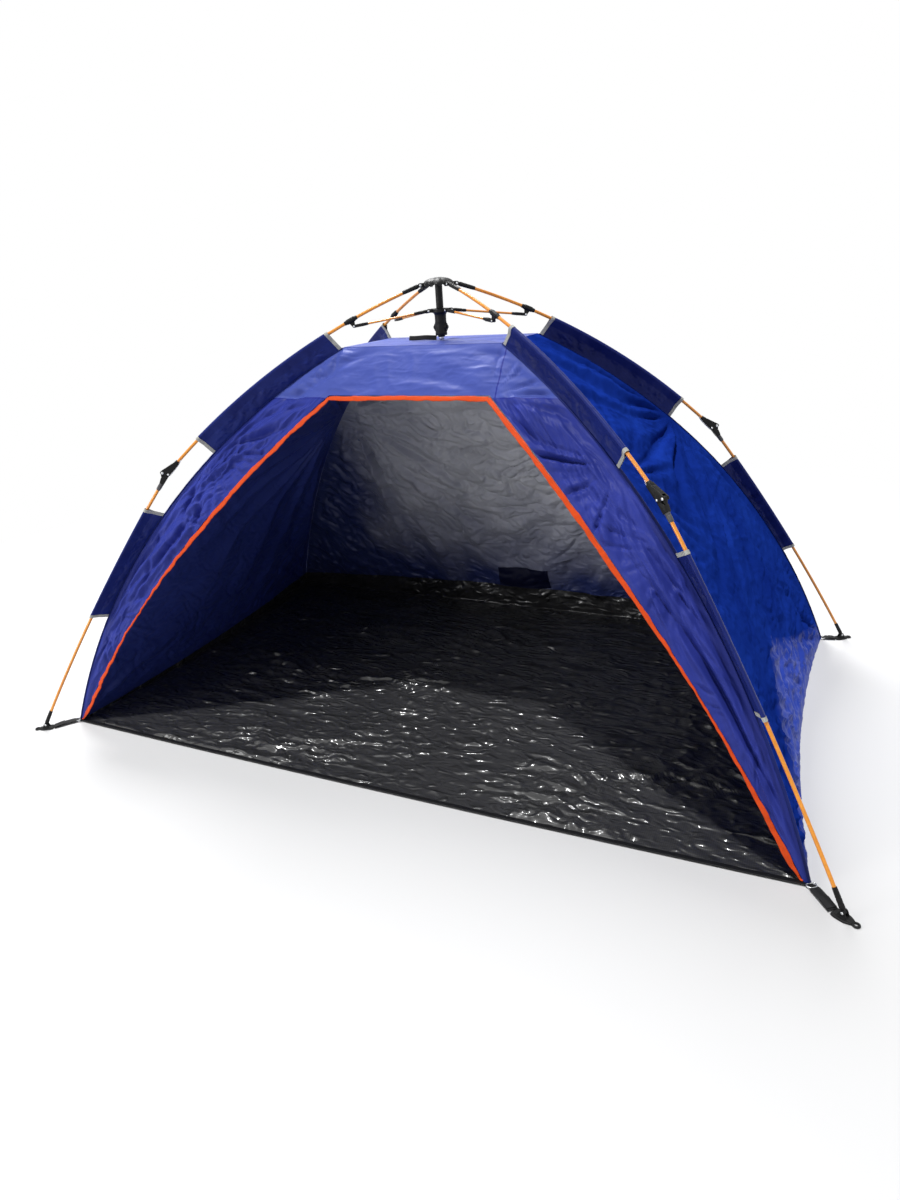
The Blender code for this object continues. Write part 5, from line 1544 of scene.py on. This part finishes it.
x = np.array([-0.0205, -0.0195, -0.0150, -0.0125, -0.0115, 0.0115, 0.0125, 0.0150, 0.0195, 0.0205])
h = np.array([0.0050, 0.0056, 0.0060, 0.0064, 0.0074, 0.0074, 0.0064, 0.0060, 0.0056, 0.0050])
collar = body_along(clamp_place, clamp_heading, x, h, h)
lug = hull([*circle(0, -clamp_drop, 0.0040), (-0.0095, -0.0055), (0.0075, -0.0055), (-0.0095, -0.002),
            (0.0075, -0.002)])
lug = placed(plate(lug, -0.0025, 0.0025, 0.0006), clamp_place, clamp_heading)
on_each_leg("clamp", [collar, lug], grained_nylon, "upper")
rivet_on_each_leg("clamp_rivet", clamp_pivot, "upper", 0.0060, 0.0016, 0.0028, 0.0008)

rod = body_along(runner_pivot, strut_heading, np.linspace(0.030, strut_length - 0.030, 12), 0.0031, 0.0031)
on_each_leg("strut", [rod], orange_fibre, "strut", "pole_orange")
x = np.array([-0.0046, -0.0040, -0.0025, 0, 0.0050, 0.0062, 0.0070, 0.0085, 0.0300, 0.0310, 0.0325, 0.0335,
              0.0415, 0.0422])
h = np.array([0.0006, 0.0023, 0.0039, 0.0046, 0.0040, 0.0040, 0.0047, 0.0049, 0.0046, 0.0041, 0.0041, 0.0045,
              0.0041, 0.0036])
eye = x < 0.0066
collar = body_along(runner_pivot, strut_heading, x, np.where(eye, 0.0035, h), h,
                    square=np.where(eye, 6.0, 2.2))
x = strut_length - np.array([0.0420, 0.0412, 0.0370, 0.0350, 0.0290, 0.0275, 0.0262])
w = [0.0034, 0.0039, 0.0042, 0.0046, 0.0057, 0.0059, 0.0058]
h = [0.0034, 0.0039, 0.0042, 0.0042, 0.0044, 0.0046, 0.0044]
neck = body_along(runner_pivot, strut_heading, x, w, h, square=[2.2, 2.2, 2.5, 3, 5, 6, 6])
prong_root = strut_length - 0.0285
prong = hull([*circle(strut_length, 0, 0.0042), (prong_root, 0.0043), (prong_root, -0.0043)])
prongs = [plate(prong, low, low + 0.0028, 0.0006) for low in (0.0030, -0.0058)]
prongs = [placed(shell, runner_pivot, strut_heading) for shell in prongs]
on_each_leg("strut_ends", [collar, neck] + prongs, grained_nylon, "strut", cad=False)
rivet_on_each_leg("strut_rivet", runner_pivot, "strut", 0.0067, 0.0018, 0.0030, 0.0008)
print("struts", round(strut_length, 4), "m")

# %% Elbows
upper_end, lower_start = float(upper_at(upper_length)[1]), float(lower_at(0)[1])
elbow_heading, half_bend = (upper_end + lower_start) / 2, (upper_end - lower_start) / 2
pivot_out = 0.013           # from the poles' meeting point out to the elbow's pin


def up_tipped(x, z):
    """Tipped to lie along the upper pole; the elbow is drawn level."""
    return rotated(x, z, half_bend)


def low_tipped(x, z):
    return rotated(x, z, -half_bend)


def both_sides(outline, low, high, edge):
    return [plate(outline, low, high, edge), plate(outline, -high, -low, edge)]


def at_elbow(shells):
    return [placed(shell, elbow, elbow_heading) for shell in shells]


# The upper half: a block under the pole, and two cheeks that rise in a wedge to the pin.
block = hull([up_tipped(-0.050, -0.0062), up_tipped(-0.047, -0.0070), (-0.0004, -0.0070), (-0.0004, 0.0045),
              up_tipped(-0.047, 0.0070), up_tipped(-0.050, 0.0062)])
cheek = hull([up_tipped(-0.046, 0.0062), up_tipped(-0.040, -0.0058), (-0.0005, -0.0058), (-0.0005, 0.0060),
              *circle(0, pivot_out, 0.0067)[2:20]])
ridge = hull([up_tipped(-0.043, 0.0060), (-0.014, 0.0050), (-0.0105, 0.0160), up_tipped(-0.036, 0.0098)])
mouth = body_along(np.zeros(2), half_bend, [-0.0560, -0.0555, -0.0500, -0.0480],
                   [0.0056, 0.0062, 0.0068, 0.0070], [0.0056, 0.0060, 0.0064, 0.0064], square=[2, 2, 3, 4])
socket = [plate(block, -0.0082, 0.0082, 0.0014), *both_sides(cheek, 0.0045, 0.0086, 0.0010),
          plate(ridge, -0.0046, 0.0046, 0.0010), mouth]
# The lower half: a block, a tongue between the cheeks, and a grey sleeve on the pole.
low_block = hull([(0.0004, -0.0070), low_tipped(0.030, -0.0064), low_tipped(0.030, 0.0064), (0.0150, 0.0088),
                  (0.0078, 0.0040), (0.0004, 0.0035)])
tongue = hull([*circle(0, pivot_out, 0.0060), (0.0050, 0.0025), (0.0150, 0.0030), (0.0160, 0.0075)])
knuckle = [plate(low_block, -0.0082, 0.0082, 0.0014), plate(tongue, -0.0040, 0.0040, 0.0008)]
x = np.array([0.0280, 0.0290, 0.0345, 0.0352, 0.0362, 0.0370, 0.0480, 0.0525, 0.0532])
r = np.array([0.0062, 0.0066, 0.0066, 0.0060, 0.0060, 0.0065, 0.0063, 0.0058, 0.0053])
collar = body_along(np.zeros(2), -half_bend, x, r, r, square=2.2)
# Two wires along the inner side, held by a rivet.
wire_x = np.array([-0.064, -0.060, -0.050, -0.040, -0.025, -0.012, -0.004])
wire_z = np.array([-0.0046, -0.0056, -0.0078, -0.0084, -0.0086, -0.0084, -0.0080])
wire_s, wire_up = (line[:, None] for line in rotated(wire_x, wire_z, half_bend * 0.8))
ring = full_turn(10)
wires = [loft(np.stack(np.broadcast_arrays(wire_s, y + 0.0009 * np.cos(ring),
                                           wire_up + 0.0009 * np.sin(ring)), -1))
         for y in (-0.0030, 0.0030)]
wires.append(pin_across(-0.0065, -0.0030, 0.0084, 0.002, 0.0032, 0.0010))
pin = pin_across(0, pivot_out, 0.0088, 0.002, 0.0040, 0.0012)
on_each_leg("elbow_socket", at_elbow(socket), gloss_nylon, "upper")
on_each_leg("elbow_knuckle", at_elbow(knuckle), gloss_nylon, "lower")
on_each_leg("elbow_collar", at_elbow([collar]), grey_nylon, "lower", cad=False)
on_each_leg("elbow_spring", at_elbow(wires), zinc_steel, "upper", "bright_steel", cad=False, crease=38)
on_each_leg("elbow_pin", at_elbow([pin]), zinc_steel, "upper", "bright_steel", crease=38)
print("elbows at", elbow)

# %% Feet
# A sole that narrows to a ring with the peg hole, a raised rib, and two ears that hold the ferrule's eye.
base = np.array([foot_radius, 0.0])
sole_x = np.array([-0.0220, -0.0214, -0.0190, -0.0120, 0.0, 0.0100, 0.0180, 0.0225, 0.0240])
sole_w = np.array([0.0110, 0.0120, 0.0136, 0.0150, 0.0150, 0.0136, 0.0100, 0.0070, 0.0050])
sole_h = np.array([0.0018, 0.0023, 0.0025, 0.0025, 0.0026, 0.0026, 0.0025, 0.0024, 0.0022])
sole = body_along(base, 0.0, sole_x, sole_w, sole_h, lift=sole_h + 0.0001, square=5.0, sides=40)
rib_x = np.array([-0.0185, -0.0180, -0.0090, 0.0090, 0.0190, 0.0222, 0.0228])
rib = body_along(base, 0.0, rib_x, [0.0070, 0.0078, 0.0084, 0.0080, 0.0066, 0.0052, 0.0044],
                 [0.0006, 0.0012, 0.0018, 0.0020, 0.0014, 0.0008, 0.0004], lift=0.0050, square=4.0)
section = full_turn(12)
hole_ring = turned(np.stack([0.00625 + 0.00275 * np.cos(section), 0.0026 + 0.0024 * np.sin(section)], -1),
                   closed=True, sides=40)
hole_ring = moved(hole_ring, lambda points: points + [foot_radius + 0.029, 0, 0])
ears = hull([*circle(0, 0, 0.0060), (-0.0120, -0.0120), (0.0120, -0.0120), (-0.0110, -0.0105),
             (0.0110, -0.0105)])
pair = [placed(plate(ears, low, low + 0.003, 0.0008), foot_pivot, 0.0) for low in (0.0045, -0.0075)]
on_each_leg("foot", [sole, rib, hole_ring] + pair, grained_nylon, "foot")
print("feet done")

# %% [markdown]
# ## Webbing, rings and the pocket
#
# Black webbing ties each corner of the groundsheet to its foot through a steel ring. A flat strap lies on
# the roof beside the mast, and a small pocket hangs inside the back wall.

# %% Corner straps and rings
for key, (side, end) in LEGS.items():
    start = floor_corner(side, end)
    heel = stand(key, [foot_radius - 0.0225, 0.0, 0.0])
    share = np.linspace(0.0, 1.0, 40)
    line = start * (1 - share[:, None]) + heel * share[:, None]
    line[:, 2] = 0.0044 + 0.0026 * np.sin(np.pi * share) + 0.0009 * hills(share * 5, 0.4, 700 + side + end)
    ahead = (heel - start) / np.linalg.norm(heel - start)
    sideways = np.cross([0, 0, 1.0], ahead)
    across = np.tile(sideways, (40, 1))
    bands = [ribbon(line, across, 0.0125 * (0.35 + 0.65 * rise_over(share, 0.22)), 0.0011),
             ribbon(line[22:38] + [0, 0, 0.0022], across[22:38], 0.0118, 0.0010)]
    azimuth = part_azimuth(line)
    # The ring: a squared loop of wire, 1.6 mm thick each way from its middle.
    loop, small = full_turn(48)[:, None], full_turn(12)
    reach_x = np.maximum(0.0090 * np.cos(loop), -0.0050) + 0.0016 * np.cos(loop) * np.cos(small)
    reach_y = 0.0115 * flattened(np.sin(loop), 0.7) + 0.0016 * np.sin(loop) * np.cos(small)
    rise = np.broadcast_to(0.0016 * np.sin(small), reach_x.shape)
    ring = start + 0.004 * ahead + [0, 0, 0.0054] + np.stack([reach_x, reach_y, rise], -1) @ np.array(
        [ahead, sideways, [0, 0, 1.0]])
    piece = rigid_piece(f"corner_ring_{key}", [loft(ring, closed=True)], zinc_steel, "root", "bright_steel")
    fold_in(piece, azimuth)
    tape_piece(f"corner_strap_{key}", bands, black_webbing, "black_webbing", (f"corner_strap_{key}",),
               azimuth)
print("corner straps done")

# %% Strap on the roof and pocket
x = np.linspace(-0.106, -0.016, 40)
line = np.stack([x, 0.0012 * np.sin(x * 60), 1.1366 + 0.0006 * np.sin(x * 90)], -1)
tilt = np.stack([np.zeros(40), 0.35 + 0.1 * np.sin(x * 40), np.ones(40)], -1)
tape_piece("roof_strap", [ribbon(line, tilt, 0.0068, 0.0011)], black_webbing, "black_webbing",
           ("roof_strap",), math.pi)

POUCH_ROWS = 24
points = walls["back_wall"][0]
inside = points - grid_normals(points) * (wall_cloth + 0.0016)
row = rows_at(points, np.linspace(0.188, 0.102, POUCH_ROWS))
columns = np.flatnonzero(np.abs(inside[WALL_ROWS - 12, :, 0]) < 0.112)
pouch = row_between(inside, np.broadcast_to(row[:, None], (POUCH_ROWS, points.shape[1])))
pouch = pouch[:, columns[0]:columns[-1] + 1]
u, v = np.linspace(-1, 1, pouch.shape[1])[None, :], np.linspace(0, 1, POUCH_ROWS)[:, None]
bulge = 0.0052 * (1 - u ** 4) * (0.35 + 0.65 * np.sin(np.pi * np.clip(v * 1.1, 0, 1)))
bulge = np.maximum(bulge + 0.0010 * hills(4 * u, 3 * v, 900), 0.0008)
pouch = pouch - np.array([0, 1.0, 0]) * bulge[..., None]
pouch_flat = flat_places(pouch)
if grid_normals(pouch)[12, 10, 1] > 0:
    pouch, pouch_flat = pouch[:, ::-1], pouch_flat[:, ::-1]
cloth_piece("pocket", pouch, pouch_flat, [pocket_coat, pocket_coat], "navy_polyester", ("pocket",),
            math.pi / 2, held="hung", thickness=0.0008)
print("pocket", round(float(np.ptp(pouch[..., 0])), 3), "m wide")

# %% Sizes and finish
dressed_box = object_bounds()
plain = lambda box: [[float(v) for v in corner] for corner in box]
{"cad": plain(cad_box), "visual": plain(dressed_box)}
print("cad box", plain(cad_box), "dressed box", plain(dressed_box))
